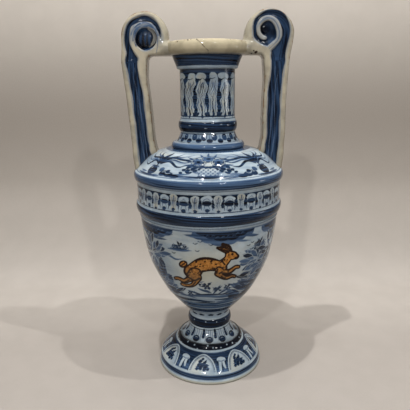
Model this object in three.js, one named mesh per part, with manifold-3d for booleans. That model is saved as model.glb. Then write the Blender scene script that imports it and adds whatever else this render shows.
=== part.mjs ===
// An amphora vase in tin-glazed earthenware with two scroll handles, 400 mm tall.
// Units are millimetres, +Z is up, and the origin is the centre of the foot's resting face.
// The vase is built as a potter builds it: turned sections stacked on rebated seats and luted
// with slip, then two straps and two scrolls luted on. SLIP is the thickness of that slip.
import * as THREE from "three";
import { mergeVertices } from "three/addons/utils/BufferGeometryUtils.js";
import Module from "manifold-3d";

const wasm = await Module();
wasm.setup();

// Clay and joints
const WALL = 6.5;
const SLIP = 0.3;
const TONGUE_HEIGHT = 3;
const TONGUE_WALL = 3;
const FLOOR_THICKNESS = 9;

// Heights of the turned sections, from the table up
const PEDESTAL_HEIGHT = 29.4;
const CONE_HEIGHT = 20.1;
const KNOB_HEIGHT = 12.5;
const BELLY_HEIGHT = 139.2;
const FRIEZE_HEIGHT = 23.3;
const SHOULDER_HEIGHT = 34;
const COLLAR_HEIGHT = 17.9;
const NECK_HEIGHT = 64.4;
const CAPITAL_HEIGHT = 13.5;
const RIM_HEIGHT = 16.7;

// Radii of the turned sections, and how far each upper one stands out of the neck or of the last
const FOOT_RADIUS = 61.5;
const CONE_RADIUS = 39.2;
const STEM_RADIUS = 24;
const FRIEZE_RADIUS = 79.6;
const NECK_RADIUS = 29.5;
const COLLAR_PROJECTION = 9;
const CAPITAL_PROJECTION = 6;
const RIM_PROJECTION = 8.5;

// Mouldings: how tall each one is, and how far it swells out of its wall
const FOOT_RING_HEIGHT = 5.5;
const FOOT_BAND_HEIGHT = 5.5;
const FOOT_BAND_SET_IN = 1.1;
const CONE_MOULDING_HEIGHT = 5.4;
const CONE_MOULDING_RUN = 5.4;
const CONE_MOULDING_SWELL = 1.5;
const KNOB_SWELL = 1.8;
const KNOB_FILLET_HEIGHT = 1.7;
const BELLY_MOULDING_HEIGHT = 12.2;
const BELLY_MOULDING_SWELL = 2.6;
const BELLY_MOULDING_LIP = 0.5;
const BELLY_BEAD_HEIGHT = 4.2;
const BELLY_BEAD_SWELL = 0.8;
const BELLY_SET_IN = 2.4;
const SHOULDER_MOULDING_HEIGHT = 11;
const SHOULDER_MOULDING_SWELL = 2.6;
const DOME_OVERHANG = 1;
const COLLAR_MOULDING_HEIGHT = 7.5;
const COLLAR_MOULDING_SWELL = 3;
const COLLAR_LEDGE = 1.2;
const COLLAR_CONE_SPREAD = 4.6;
const NECK_MOULDING_HEIGHT = 12;
const NECK_MOULDING_SWELL = 2;
const NECK_FILLET_WIDTH = 0.9;
const NECK_FILLET_HEIGHT = 3.5;
const CAPITAL_FLARE_HEIGHT = 3;
const CAPITAL_TAPER = 1.4;
const RIM_OVERHANG = 0.5;
const RIM_EDGE_ROUND = 5;

// Handles: a strap with a channel down its front and back, and a scroll on top
const HANDLE_DEPTH = 24;
const HANDLE_WIDTH = 24.6;
const HANDLE_TOP_WIDTH = 27.2;
const HANDLE_FOOT_SPREAD = 5.5;
const HANDLE_FOOT_TAPER = 1.8;
const CHANNEL_DEPTH = 2.4;
const CHANNEL_RIDGE = 0.9;
const CHANNEL_SLOPE = 1.1;
const OUTER_RIB = 5;
const INNER_RIB = 6.8;
const EDGE_ROUND = 2.2;
const SCROLL_FROM_RIM = 20;
const SCROLL_ABOVE_RIM = 3;
const STRAP_FROM_SCROLL = 24.3;
const SPIRAL_RIB = 6;
const EYE_RISE = 1.2;
const BRIDGE_FILLET = 5;
const SEAM_DROP = 1;

// Facets of round and curved faces. A cut runs past what it cuts by OVERRUN.
const TURNED_FACETS = 36;
const FACET_DEGREES = 15;
const MOULDING_FACETS = 5;
const BEAD_FACETS = 2;
const FOOT_FACETS = 7;
const CONE_FACETS = 6;
const BELLY_FACETS = 16;
const DOME_FACETS = 10;
const COLLAR_FACETS = 4;
const WELD = 1e-4;
const OVERRUN = 1;

// The two scrolls were rolled by hand and differ: the left one closes round its eye, and the
// right one ends in an open hook. Angles are in degrees, anticlockwise on the right handle, and
// places are offsets from the scroll's centre.
const SCROLLS = {
  left: {
    radius: 24.3,
    eye: [-1.5, -3],
    eyeRadius: 8.3,
    pitRadius: 11.3,
    rib: { ringRadius: 14.2, startRadius: 15, fade: 30, from: -90, to: 262 },
    recess: { centre: [1.7, 0.4], radius: 19.1, from: -60, to: 187 },
  },
  right: {
    radius: 25.7,
    eye: [-1, 6],
    eyeRadius: 4,
    pitRadius: 6,
    rib: { ringRadius: 9.2, startRadius: 20.4, fade: 55, from: -75, to: 262 },
    recess: { centre: [2, 6.3], radius: 18, from: -60, to: 288 },
  },
};

// Glaze colours
const CREAM = new THREE.Color(0xd8cfb8);
const COBALT = new THREE.Color(0x2c3f6b);
const PALE_BLUE = new THREE.Color(0x9fb0c0);

// Places worked out from the sizes
const CONE_SEAT = PEDESTAL_HEIGHT;
const KNOB_SEAT = CONE_SEAT + CONE_HEIGHT;
const BELLY_SEAT = KNOB_SEAT + KNOB_HEIGHT;
const FRIEZE_SEAT = BELLY_SEAT + BELLY_HEIGHT;
const SHOULDER_SEAT = FRIEZE_SEAT + FRIEZE_HEIGHT;
const COLLAR_SEAT = SHOULDER_SEAT + SHOULDER_HEIGHT;
const NECK_SEAT = COLLAR_SEAT + COLLAR_HEIGHT;
const CAPITAL_SEAT = NECK_SEAT + NECK_HEIGHT;
const RIM_SEAT = CAPITAL_SEAT + CAPITAL_HEIGHT;
const RIM_TOP = RIM_SEAT + RIM_HEIGHT;
const COLLAR_RADIUS = NECK_RADIUS + COLLAR_PROJECTION;
const CAPITAL_RADIUS = NECK_RADIUS + CAPITAL_PROJECTION;
const RIM_RADIUS = CAPITAL_RADIUS + RIM_PROJECTION;
const HALF_DEPTH = HANDLE_DEPTH / 2;
const SCROLL_X = RIM_RADIUS + SCROLL_FROM_RIM;
const SCROLL_Z = RIM_TOP + SCROLL_ABOVE_RIM;
const BRIDGE_UNDERSIDE = RIM_SEAT + 2 * SLIP;
const STRAP_TOP = BRIDGE_UNDERSIDE - BRIDGE_FILLET - SEAM_DROP;

const point = (r, z) => new THREE.Vector2(r, z);

// A moulding: a full round from one point to another that stands out of their chord by swell.
// It leaves out its first point, which the profile before it ends on.
function moulding(start, end, swell, facets = MOULDING_FACETS) {
  const along = end.clone().sub(start);
  const out = point(along.y, -along.x).normalize();
  return Array.from({ length: facets }, (_, i) => {
    const share = (i + 1) / facets;
    const rise = swell * Math.sqrt(4 * share * (1 - share)) ** 1.3;
    return start.clone().addScaledVector(along, share).addScaledVector(out, rise);
  });
}

// A smooth wall through the given points.
function wallCurve(points, facets) {
  return new THREE.SplineCurve(points).getPoints(facets);
}

// The same curve moved sideways: inwards, towards the axis, where distance is positive.
function inset(points, distance) {
  return points.map((p, i) => {
    const before = points[Math.max(i - 1, 0)];
    const after = points[Math.min(i + 1, points.length - 1)];
    const along = after.clone().sub(before).normalize();
    return point(p.x - along.y * distance, p.y + along.x * distance);
  });
}

// A hollow: every second point of a wall's inner curve that lies between two heights.
function hollowOf(wall, low, high) {
  const kept = inset(wall, WALL).filter((p) => p.y > low && p.y < high);
  return kept.filter((p, i) => i % 2 === 0 || i === kept.length - 1).reverse();
}

// The rebated top of a section: its seat, and the tongue that enters the section above.
function seatOnTop(radius, height) {
  return [
    point(radius, height),
    point(radius - WALL + TONGUE_WALL, height),
    point(radius - WALL + TONGUE_WALL, height + TONGUE_HEIGHT),
    point(radius - WALL, height + TONGUE_HEIGHT),
  ];
}

// The underside of a section that takes such a tongue, from the inside out.
function seatBelow(radius) {
  return [
    point(radius - WALL, TONGUE_HEIGHT + SLIP),
    point(radius - WALL + TONGUE_WALL + SLIP, TONGUE_HEIGHT + SLIP),
    point(radius - WALL + TONGUE_WALL + SLIP, SLIP),
    point(radius, SLIP),
  ];
}

// A turned body. The profile runs up the outside and down the inside, and closes on itself.
function turn(profile) {
  const ends = [profile[0], profile[profile.length - 1]];
  const closed = ends.every((p) => p.x === 0) ? profile : [...profile, profile[0]];
  return new THREE.LatheGeometry(closed, TURNED_FACETS).rotateX(Math.PI / 2);
}

function solidOf(geometry) {
  const bare = geometry.index ? geometry.toNonIndexed() : geometry.clone();
  bare.deleteAttribute("normal");
  bare.deleteAttribute("uv");
  const merged = mergeVertices(bare, WELD);
  return new wasm.Manifold(
    new wasm.Mesh({
      numProp: 3,
      vertProperties: new Float32Array(merged.attributes.position.array),
      triVerts: new Uint32Array(merged.index.array),
    }),
  );
}

function geometryOf(solid) {
  const mesh = solid.getMesh();
  return new THREE.BufferGeometry()
    .setAttribute("position", new THREE.BufferAttribute(mesh.vertProperties, 3))
    .setIndex(new THREE.BufferAttribute(mesh.triVerts, 1));
}

// Foot: the flared pedestal, hollow underneath, which rests on a flat ring. Its flare is given in
// shares of the way from the painted band to the cone's seat.
function pedestal() {
  const bandTop = FOOT_RING_HEIGHT + FOOT_BAND_HEIGHT;
  const bandRadius = FOOT_RADIUS - 2 * FOOT_BAND_SET_IN;
  const rise = PEDESTAL_HEIGHT - bandTop;
  const run = bandRadius - CONE_RADIUS;
  const shares = [[0, 0], [0.21, 0.3], [0.46, 0.56], [0.74, 0.8], [1, 1]];
  const flare = wallCurve(
    shares.map(([x, z]) => point(bandRadius - x * run, bandTop + z * rise)),
    FOOT_FACETS,
  );
  const ringTop = point(FOOT_RADIUS - FOOT_BAND_SET_IN, FOOT_RING_HEIGHT);
  return turn([
    point(FOOT_RADIUS, 0),
    point(FOOT_RADIUS, FOOT_RING_HEIGHT / 2),
    ringTop,
    ...flare.slice(0, -1),
    ...seatOnTop(CONE_RADIUS, PEDESTAL_HEIGHT),
    ...hollowOf([ringTop, ...flare], FOOT_RING_HEIGHT, PEDESTAL_HEIGHT - WALL / 2),
    point(FOOT_RADIUS - WALL, 0),
  ]);
}

// Upper foot: a rounded moulding under a hollowed cone that narrows to the stem.
function cone() {
  const foot = CONE_RADIUS - CONE_MOULDING_RUN;
  const run = foot - STEM_RADIUS;
  const rise = CONE_HEIGHT - CONE_MOULDING_HEIGHT;
  const shares = [[0, 0.03], [0.42, 0.28], [0.82, 0.62], [1, 1]];
  const wall = wallCurve(
    shares.map(([x, z]) => point(foot - x * run, CONE_MOULDING_HEIGHT + z * rise)),
    CONE_FACETS,
  );
  return turn([
    ...seatBelow(CONE_RADIUS),
    ...moulding(point(CONE_RADIUS, SLIP), point(foot, CONE_MOULDING_HEIGHT), CONE_MOULDING_SWELL),
    ...wall.slice(0, -1),
    ...seatOnTop(STEM_RADIUS, CONE_HEIGHT),
    ...hollowOf(wall, TONGUE_HEIGHT + WALL, CONE_HEIGHT),
  ]);
}

// Stem: the thrown ring between the foot and the belly, bored through.
function knob() {
  const top = point(STEM_RADIUS, KNOB_HEIGHT - KNOB_FILLET_HEIGHT);
  return turn([
    ...seatBelow(STEM_RADIUS),
    ...moulding(point(STEM_RADIUS, SLIP), top, KNOB_SWELL),
    ...seatOnTop(STEM_RADIUS, KNOB_HEIGHT),
  ]);
}

// Belly: the tapering body, given in shares of its width and height from the stem to the bead,
// with a bead and a large moulding above. Its floor closes the vase.
function belly() {
  const beadFoot = BELLY_HEIGHT - BELLY_MOULDING_HEIGHT - BELLY_BEAD_HEIGHT;
  const beadTop = BELLY_HEIGHT - BELLY_MOULDING_HEIGHT;
  const beadRadius = FRIEZE_RADIUS - BELLY_SET_IN;
  const run = beadRadius - STEM_RADIUS;
  const shares = [
    [0, 0.02], [0.03, 0.045], [0.1, 0.083], [0.2, 0.13], [0.35, 0.204], [0.5, 0.29], [0.62, 0.38],
    [0.73, 0.475], [0.815, 0.565], [0.875, 0.65], [0.92, 0.74], [0.96, 0.84], [0.99, 0.94], [1, 1],
  ];
  const wall = wallCurve(shares.map(([x, z]) => point(STEM_RADIUS + x * run, z * beadFoot)), BELLY_FACETS);
  const lip = point(FRIEZE_RADIUS + BELLY_MOULDING_LIP, BELLY_HEIGHT);
  return turn([
    point(0, TONGUE_HEIGHT + SLIP),
    ...seatBelow(STEM_RADIUS).slice(1),
    ...wall,
    ...moulding(wall.at(-1), point(beadRadius, beadTop), BELLY_BEAD_SWELL, BEAD_FACETS),
    ...moulding(point(beadRadius, beadTop), lip, BELLY_MOULDING_SWELL),
    ...seatOnTop(FRIEZE_RADIUS, BELLY_HEIGHT).slice(1),
    ...hollowOf(wall, FLOOR_THICKNESS + WALL, BELLY_HEIGHT - WALL),
    point(STEM_RADIUS - WALL, FLOOR_THICKNESS + WALL / 3),
    point(0, FLOOR_THICKNESS),
  ]);
}

// Frieze: the upright wall between the belly's moulding and the shoulder's.
function frieze() {
  return turn([...seatBelow(FRIEZE_RADIUS), ...seatOnTop(FRIEZE_RADIUS, FRIEZE_HEIGHT)]);
}

// The shoulder's dome, in shares of its width and height, from its moulding in to the collar.
function dome() {
  const foot = FRIEZE_RADIUS + DOME_OVERHANG;
  const run = foot - COLLAR_RADIUS;
  const rise = SHOULDER_HEIGHT - SHOULDER_MOULDING_HEIGHT;
  const shares = [
    [0.03, 0.04], [0.1, 0.15], [0.18, 0.285], [0.27, 0.46], [0.37, 0.63], [0.5, 0.79], [0.65, 0.905],
    [0.82, 0.975], [1, 1],
  ];
  return wallCurve(
    shares.map(([x, z]) => point(foot - x * run, SHOULDER_MOULDING_HEIGHT + z * rise)),
    DOME_FACETS,
  );
}

// The shoulder's whole outside: a rounded moulding, then the dome.
function shoulderOutline() {
  const foot = point(FRIEZE_RADIUS + DOME_OVERHANG, SHOULDER_MOULDING_HEIGHT);
  const seat = point(FRIEZE_RADIUS, SLIP);
  return [seat, ...moulding(seat, foot, SHOULDER_MOULDING_SWELL), ...dome()];
}

function shoulder() {
  return turn([
    ...seatBelow(FRIEZE_RADIUS),
    ...shoulderOutline().slice(1, -1),
    ...seatOnTop(COLLAR_RADIUS, SHOULDER_HEIGHT),
    ...hollowOf(dome(), SHOULDER_MOULDING_HEIGHT, SHOULDER_HEIGHT - WALL + SLIP),
  ]);
}

// Collar: a rounded moulding and a short cone that carries the neck.
function collar() {
  const foot = point(NECK_RADIUS + COLLAR_CONE_SPREAD, COLLAR_MOULDING_HEIGHT);
  const top = point(NECK_RADIUS, COLLAR_HEIGHT);
  const waist = foot.clone().lerp(top, 0.5).sub(point(COLLAR_CONE_SPREAD / 12, 0));
  const wall = wallCurve([foot, waist, top], COLLAR_FACETS);
  const ledge = foot.clone().add(point(COLLAR_LEDGE, 0));
  return turn([
    ...seatBelow(COLLAR_RADIUS),
    ...moulding(point(COLLAR_RADIUS, SLIP), ledge, COLLAR_MOULDING_SWELL),
    ...wall.slice(0, -1),
    ...seatOnTop(NECK_RADIUS, COLLAR_HEIGHT),
    ...hollowOf(wall, TONGUE_HEIGHT + 2 * SLIP, COLLAR_HEIGHT - SLIP),
  ]);
}

// Neck: a rounded moulding and a small fillet under an upright tube.
function neck() {
  const fillet = point(NECK_RADIUS + NECK_FILLET_WIDTH, NECK_MOULDING_HEIGHT);
  return turn([
    ...seatBelow(NECK_RADIUS),
    ...moulding(point(NECK_RADIUS, SLIP), fillet, NECK_MOULDING_SWELL),
    point(NECK_RADIUS, NECK_MOULDING_HEIGHT + NECK_FILLET_HEIGHT),
    ...seatOnTop(NECK_RADIUS, NECK_HEIGHT),
  ]);
}

// Capital: the neck's flared top, whose bore opens out to the mouth.
function capital() {
  return turn([
    ...seatBelow(NECK_RADIUS),
    point(CAPITAL_RADIUS - CAPITAL_TAPER, CAPITAL_FLARE_HEIGHT),
    ...seatOnTop(CAPITAL_RADIUS, CAPITAL_HEIGHT),
    point(CAPITAL_RADIUS - WALL, CAPITAL_HEIGHT - TONGUE_HEIGHT),
  ]);
}

// The rim's outside: shares of its edge round, measured inwards, and of its height.
function rimOutline() {
  const shares = [[0.7, 0.07], [0.16, 0.27], [0, 0.52], [0.12, 0.78], [0.5, 0.95], [1, 1]];
  return [
    point(CAPITAL_RADIUS + RIM_OVERHANG, SLIP),
    ...shares.map(([x, z]) => point(RIM_RADIUS - x * RIM_EDGE_ROUND, z * RIM_HEIGHT)),
  ];
}

// Mouth: the thick rounded rim, whose inner lip rounds down into the capital's bore.
function rim() {
  const mouth = CAPITAL_RADIUS - WALL;
  const lip = [[1, 0], [0.3, 0.4], [0, 1.2]];
  return turn([
    ...seatBelow(CAPITAL_RADIUS).slice(0, -1),
    ...rimOutline(),
    ...lip.map(([x, z]) => point(mouth + x * RIM_EDGE_ROUND, RIM_HEIGHT - z * RIM_EDGE_ROUND)),
  ]);
}

// The solid inside a turned outline, grown by the slip, which handles are cut back to.
function cutter(outline, seat) {
  const grown = inset(outline, -SLIP);
  const ends = [point(0, grown[0].y), point(0, grown.at(-1).y)];
  return solidOf(turn([ends[0], ...grown, ends[1]])).translate([0, 0, seat]);
}

// The strap from its foot up, as shares: of its height, of the taper and of the spread at its
// foot, and of the way that its outer edge leans out to meet the scroll.
function strapStations() {
  const foot = SHOULDER_SEAT + SHOULDER_MOULDING_HEIGHT + 2 * SLIP;
  const rise = STRAP_TOP - SLIP - foot;
  const reach = FRIEZE_RADIUS + SHOULDER_MOULDING_SWELL;
  const lean = SCROLL_X + STRAP_FROM_SCROLL - reach;
  const shares = [
    [0, 1, 1.2, 0], [0.125, 0.06, 0.9, 0], [0.19, 0, 0.25, 0], [0.28, 0, 0, 0.02], [0.47, 0, 0, 0.05],
    [0.66, 0, 0, 0.22], [0.83, 0, 0, 0.58], [1, 0, 0, 1],
  ];
  return shares.map(([height, taper, spread, leaning]) => {
    const outer = reach - taper * HANDLE_FOOT_TAPER + leaning * lean;
    const top = height === 1 ? HANDLE_TOP_WIDTH - HANDLE_WIDTH : 0;
    const width = HANDLE_WIDTH - taper * HANDLE_FOOT_TAPER + spread * HANDLE_FOOT_SPREAD + top;
    return { z: foot + height * rise, inner: outer - width, outer };
  });
}

// One cross-section of the strap, seen from above: two ribs with a channel between them.
function strapSection({ inner, outer }) {
  const [left, right] = [inner + INNER_RIB, outer - OUTER_RIB];
  const floor = HALF_DEPTH - CHANNEL_DEPTH;
  const half = [
    [inner, HALF_DEPTH - EDGE_ROUND],
    [inner + EDGE_ROUND, HALF_DEPTH],
    [left - CHANNEL_SLOPE, HALF_DEPTH],
    [left + CHANNEL_SLOPE, floor],
    [(left + right) / 2, floor + CHANNEL_RIDGE],
    [right - CHANNEL_SLOPE, floor],
    [right + CHANNEL_SLOPE, HALF_DEPTH],
    [outer - EDGE_ROUND, HALF_DEPTH],
    [outer, HALF_DEPTH - EDGE_ROUND],
  ];
  return [...half.map(([x, y]) => [x, -y]), ...half.reverse()];
}

// Joins cross-sections, each a ring of points at its own height, into one closed body.
function loft(sections, heights) {
  const count = sections[0].length;
  const positions = sections.flatMap((ring, level) => ring.flatMap(([x, y]) => [x, y, heights[level]]));
  const faces = [];
  for (let level = 0; level < sections.length - 1; level += 1) {
    for (let i = 0; i < count; i += 1) {
      const a = level * count + i;
      const b = level * count + ((i + 1) % count);
      faces.push(a, b, b + count, a, b + count, a + count);
    }
  }
  const cap = THREE.ShapeUtils.triangulateShape(sections[0].map(([x, y]) => point(x, y)), []);
  const top = (sections.length - 1) * count;
  cap.forEach(([a, b, c]) => faces.push(c, b, a, top + a, top + b, top + c));
  return new THREE.BufferGeometry()
    .setAttribute("position", new THREE.Float32BufferAttribute(positions, 3))
    .setIndex(faces);
}

// Strap: the handle's upright, cut off at its foot along the shoulder's dome.
function strap() {
  const stations = strapStations();
  const body = solidOf(loft(stations.map(strapSection), stations.map(({ z }) => z)));
  return geometryOf(body.subtract(cutter(shoulderOutline(), SHOULDER_SEAT)));
}

// Extrudes an outline in the X-Z plane through the handle's depth, from y = near to y = far.
function slab(outline, near, far) {
  const shape = new THREE.Shape(outline);
  const made = new THREE.ExtrudeGeometry(shape, { depth: far - near, bevelEnabled: false });
  return solidOf(made.rotateX(Math.PI / 2)).translate([0, far, 0]);
}

// Points round a centre, from one angle to another, at a radius that may change on the way.
function arc([x, z], radiusAt, from, to) {
  const steps = Math.ceil(Math.abs(to - from) / FACET_DEGREES);
  return Array.from({ length: steps + 1 }, (_, i) => {
    const turned = ((to - from) * i) / steps;
    const radius = typeof radiusAt === "function" ? radiusAt(turned) : radiusAt;
    const angle = THREE.MathUtils.degToRad(from + turned);
    return point(x + radius * Math.cos(angle), z + radius * Math.sin(angle));
  });
}

const disc = (centre, radius) => arc(centre, radius, 0, 360 - FACET_DEGREES);

// The scroll's rib: a band along a spiral round the eye. The spiral's radius falls from
// startRadius towards ringRadius as the angle grows, most of the way within one fade.
function spiralBand(centre, { ringRadius, startRadius, fade, from, to }) {
  const fall = startRadius - ringRadius;
  const edge = (offset) => (turned) => ringRadius + fall * Math.exp(-turned / fade) + offset;
  const outer = arc(centre, edge(SPIRAL_RIB / 2), from, to);
  const inner = arc(centre, edge(-SPIRAL_RIB / 2), from, to);
  return [...outer, ...inner.reverse()];
}

// Scroll: a thick plate that carries on from the strap, loops over and meets the rim. A channel
// is sunk into both faces, and the rib left standing in it winds in to the eye in its pit.
function scroll({ radius, eye, eyeRadius, pitRadius, rib, recess }) {
  const from = ([x, z]) => [SCROLL_X + x, SCROLL_Z + z];
  const top = strapStations().at(-1);
  const plate = [
    point(top.inner, STRAP_TOP),
    point(top.outer, STRAP_TOP),
    ...arc(from([0, 0]), radius, 0, 180),
    point(RIM_RADIUS - RIM_EDGE_ROUND - OVERRUN, RIM_TOP - SLIP),
    point(CAPITAL_RADIUS + OVERRUN, BRIDGE_UNDERSIDE),
    ...arc([top.inner - BRIDGE_FILLET, BRIDGE_UNDERSIDE - BRIDGE_FILLET], BRIDGE_FILLET, 90, 0),
  ];
  const [recessX, recessZ] = from(recess.centre);
  const channel = [
    point(top.inner + INNER_RIB, STRAP_TOP - OVERRUN),
    point(top.outer - OUTER_RIB, STRAP_TOP - OVERRUN),
    point(recessX + recess.radius, recessZ),
    point(recessX, recessZ),
  ];
  const loop = [point(recessX, recessZ), ...arc([recessX, recessZ], recess.radius, recess.from, recess.to)];
  const sunk = (near, far) =>
    slab(loop, near, far)
      .add(slab(channel, near, far))
      .subtract(slab(spiralBand(from(eye), rib), near - OVERRUN, far + OVERRUN))
      .add(slab(disc(from(eye), pitRadius), near, far));
  const floor = HALF_DEPTH - CHANNEL_DEPTH;
  const body = slab(plate, -HALF_DEPTH, HALF_DEPTH)
    .subtract(sunk(-HALF_DEPTH - OVERRUN, -floor))
    .subtract(sunk(floor, HALF_DEPTH + OVERRUN))
    .add(slab(disc(from(eye), eyeRadius), -floor - EYE_RISE, floor + EYE_RISE))
    .subtract(cutter(rimOutline(), RIM_SEAT));
  return geometryOf(body);
}

const glaze = (color) => new THREE.MeshStandardMaterial({ color, roughness: 0.15, metalness: 0 });

const vase = new THREE.Group();

function place(name, geometry, color, seat = 0) {
  const mesh = new THREE.Mesh(geometry, glaze(color));
  mesh.name = name;
  mesh.position.z = seat;
  vase.add(mesh);
  return mesh;
}

place("pedestal_foot", pedestal(), PALE_BLUE);
place("pedestal_cone", cone(), PALE_BLUE, CONE_SEAT);
place("stem_knob", knob(), COBALT, KNOB_SEAT);
place("belly", belly(), PALE_BLUE, BELLY_SEAT);
place("frieze_band", frieze(), PALE_BLUE, FRIEZE_SEAT);
place("shoulder", shoulder(), PALE_BLUE, SHOULDER_SEAT);
place("neck_collar", collar(), PALE_BLUE, COLLAR_SEAT);
place("neck", neck(), PALE_BLUE, NECK_SEAT);
place("capital", capital(), COBALT, CAPITAL_SEAT);
place("mouth_rim", rim(), CREAM, RIM_SEAT);
for (const [side, direction] of [["left", -1], ["right", 1]]) {
  place(`${side}_handle_strap`, strap(), COBALT).scale.x = direction;
  place(`${side}_handle_scroll`, scroll(SCROLLS[side]), CREAM).scale.x = direction;
}

export default vase;
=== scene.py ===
"""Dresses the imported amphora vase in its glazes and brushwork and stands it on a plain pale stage.

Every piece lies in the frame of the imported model. Shapes and drawings are worked out in
millimetres, with the vase's axis as Z and the viewer towards -Y, and become metres in the mesh.
"""

import math

import bpy
import numpy as np
from mathutils import Matrix, Vector


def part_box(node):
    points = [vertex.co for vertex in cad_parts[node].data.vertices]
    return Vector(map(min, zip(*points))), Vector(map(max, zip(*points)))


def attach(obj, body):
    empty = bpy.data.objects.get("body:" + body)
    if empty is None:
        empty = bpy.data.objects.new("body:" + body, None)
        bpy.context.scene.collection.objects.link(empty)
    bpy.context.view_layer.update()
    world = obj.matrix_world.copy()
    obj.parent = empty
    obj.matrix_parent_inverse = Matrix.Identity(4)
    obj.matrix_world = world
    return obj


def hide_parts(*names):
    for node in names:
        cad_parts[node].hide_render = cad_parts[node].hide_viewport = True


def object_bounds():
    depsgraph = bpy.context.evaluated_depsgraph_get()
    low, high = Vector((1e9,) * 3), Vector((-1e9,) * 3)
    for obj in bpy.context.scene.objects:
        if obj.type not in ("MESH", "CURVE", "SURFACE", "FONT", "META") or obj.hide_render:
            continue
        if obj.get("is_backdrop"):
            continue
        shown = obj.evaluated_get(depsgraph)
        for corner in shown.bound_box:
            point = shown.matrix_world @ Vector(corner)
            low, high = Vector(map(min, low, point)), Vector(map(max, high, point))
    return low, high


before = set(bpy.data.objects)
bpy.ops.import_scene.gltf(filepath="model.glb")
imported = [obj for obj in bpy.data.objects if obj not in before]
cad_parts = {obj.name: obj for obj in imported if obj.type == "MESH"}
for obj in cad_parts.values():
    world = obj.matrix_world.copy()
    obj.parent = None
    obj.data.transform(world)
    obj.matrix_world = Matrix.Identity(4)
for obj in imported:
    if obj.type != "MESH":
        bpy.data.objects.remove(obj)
cad_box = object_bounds()

bl_info = {
    "name": "Amphora vase",
    "version": (1, 0, 0),
    "blender": (4, 5, 0),
    "location": "View3D > Sidebar > Vase",
    "description": "Builds a blue-and-white tin-glazed vase with scroll handles and its stage",
    "category": "Object",
}

MM = 0.001
SLIP = 0.3

# How finely the walls are cut, in mm, and how far from a brush stroke its distance is kept.
STEP = 0.85
REACH = 3.0
FAR = 50.0
SHARP_ANGLE = math.radians(40)
# How far a thrown wall strays from round, as a share of its radius.
OUT_OF_ROUND = 0.0012

# How many points go round each turned piece, so that a brush mark's edge stays sharp on it.
POINTS_AROUND = {
    "pedestal_foot": 440, "pedestal_cone": 300, "stem_knob": 200, "belly": 490, "frieze_band": 620,
    "shoulder": 560, "neck_collar": 300, "neck": 320, "capital": 240, "mouth_rim": 320,
}

BRUSHED = ("navy", "blue", "ochre", "brown")
SOFT = ("wash", "warm", "wear", "shade_grime_and_thick_pigment", "across", "full")


# Sizes that the frame gives, and those of the turned walls.


def node_box(name):
    """A node's lowest and highest corner in millimetres."""
    low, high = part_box(name)
    return np.array(low) / MM, np.array(high) / MM


def half_width(name):
    """Half of a node's depth in millimetres, which on a turned node is its largest radius."""
    low, high = node_box(name)
    return (high[1] - low[1]) / 2


def seat(name):
    """The height in millimetres at which a section stands on the one below."""
    return node_box(name)[0][2] - SLIP


CONE_SEAT = seat("pedestal_cone")
KNOB_SEAT = seat("stem_knob")
BELLY_SEAT = KNOB_SEAT + 12.5
FRIEZE_SEAT = seat("frieze_band")
SHOULDER_SEAT = seat("shoulder")
COLLAR_SEAT = seat("neck_collar")
NECK_SEAT = seat("neck")
CAPITAL_SEAT = seat("capital")
RIM_SEAT = seat("mouth_rim")
RIM_TOP = node_box("mouth_rim")[1][2]
FOOT_RADIUS = half_width("pedestal_foot")
FRIEZE_RADIUS = half_width("frieze_band")
RIM_RADIUS = half_width("mouth_rim")
NECK_RADIUS = 29.5
CONE_RADIUS = 39.2
STEM_RADIUS = 24.0
COLLAR_RADIUS = NECK_RADIUS + 9
CAPITAL_RADIUS = NECK_RADIUS + 6
# How far the rim's top lies under the node's.
LIP_DROP = 2.2
# The inside's radii, which the photograph doesn't show.
BELLY_BORE = 73.1
STEM_BORE = 17.5
HOLLOW_BORE = 32.7
COLLAR_BORE = 32
NECK_BORE = 23
RIM_BORE = 29


# Lines, outlines and soft steps.


def spline(knots, step=STEP):
    """A smooth line through the knots: on each span the cubic whose slope at a knot is half the
    way from the knot before to the knot after."""
    p = np.array(knots, float)
    p = np.vstack([p[:1], p, p[-1:]])
    spans = []
    for a, b, c, d in zip(p[:-3], p[1:-2], p[2:-1], p[3:]):
        count = max(2, math.ceil(np.linalg.norm((c - b)[:2]) / step))
        t = np.arange(count)[:, None] / count
        bend = (2 * a - 5 * b + 4 * c - d) * t**2 + (3 * b - a - 3 * c + d) * t**3
        spans.append((2 * b + (c - a) * t + bend) / 2)
    return np.vstack([*spans, p[-1:]])


def line(start, end, step=STEP):
    """A straight line with points about a step apart."""
    start, end = np.array(start, float), np.array(end, float)
    count = max(2, math.ceil(np.linalg.norm(end - start) / step) + 1)
    return start + (end - start) * np.linspace(0, 1, count)[:, None]


def moulding(start, end, swell, step=STEP):
    """A full round that stands out of the chord from start to end by swell times the 1.3rd power
    of a half circle's height. Points crowd towards its two ends."""
    start, end = np.array(start, float), np.array(end, float)
    along = end - start
    length = np.linalg.norm(along)
    count = max(8, math.ceil(1.3 * length / step))
    t = (1 - np.cos(np.linspace(0, math.pi, count))) / 2
    out = np.array([along[1], -along[0]]) / length
    rise = swell * np.sqrt(unit(4 * t * (1 - t))) ** 1.3
    return start + along * t[:, None] + out * rise[:, None]


def shares(table, start, end):
    """Turns shares of the way from one corner to another into points."""
    table, start, end = np.array(table, float), np.array(start, float), np.array(end, float)
    return start + (end - start) * table


def joined(*parts):
    """Outlines end to end, without the points that repeat."""
    points = np.vstack(parts)
    gap = np.linalg.norm(np.diff(points, axis=0), axis=1)
    return points[np.r_[True, gap > 1e-4]]


def unit(value):
    """A value held between 0 and 1."""
    return np.clip(value, 0, 1)


def smooth(value):
    """A soft step from 0 to 1."""
    t = unit(value)
    return t * t * (3 - 2 * t)


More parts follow.
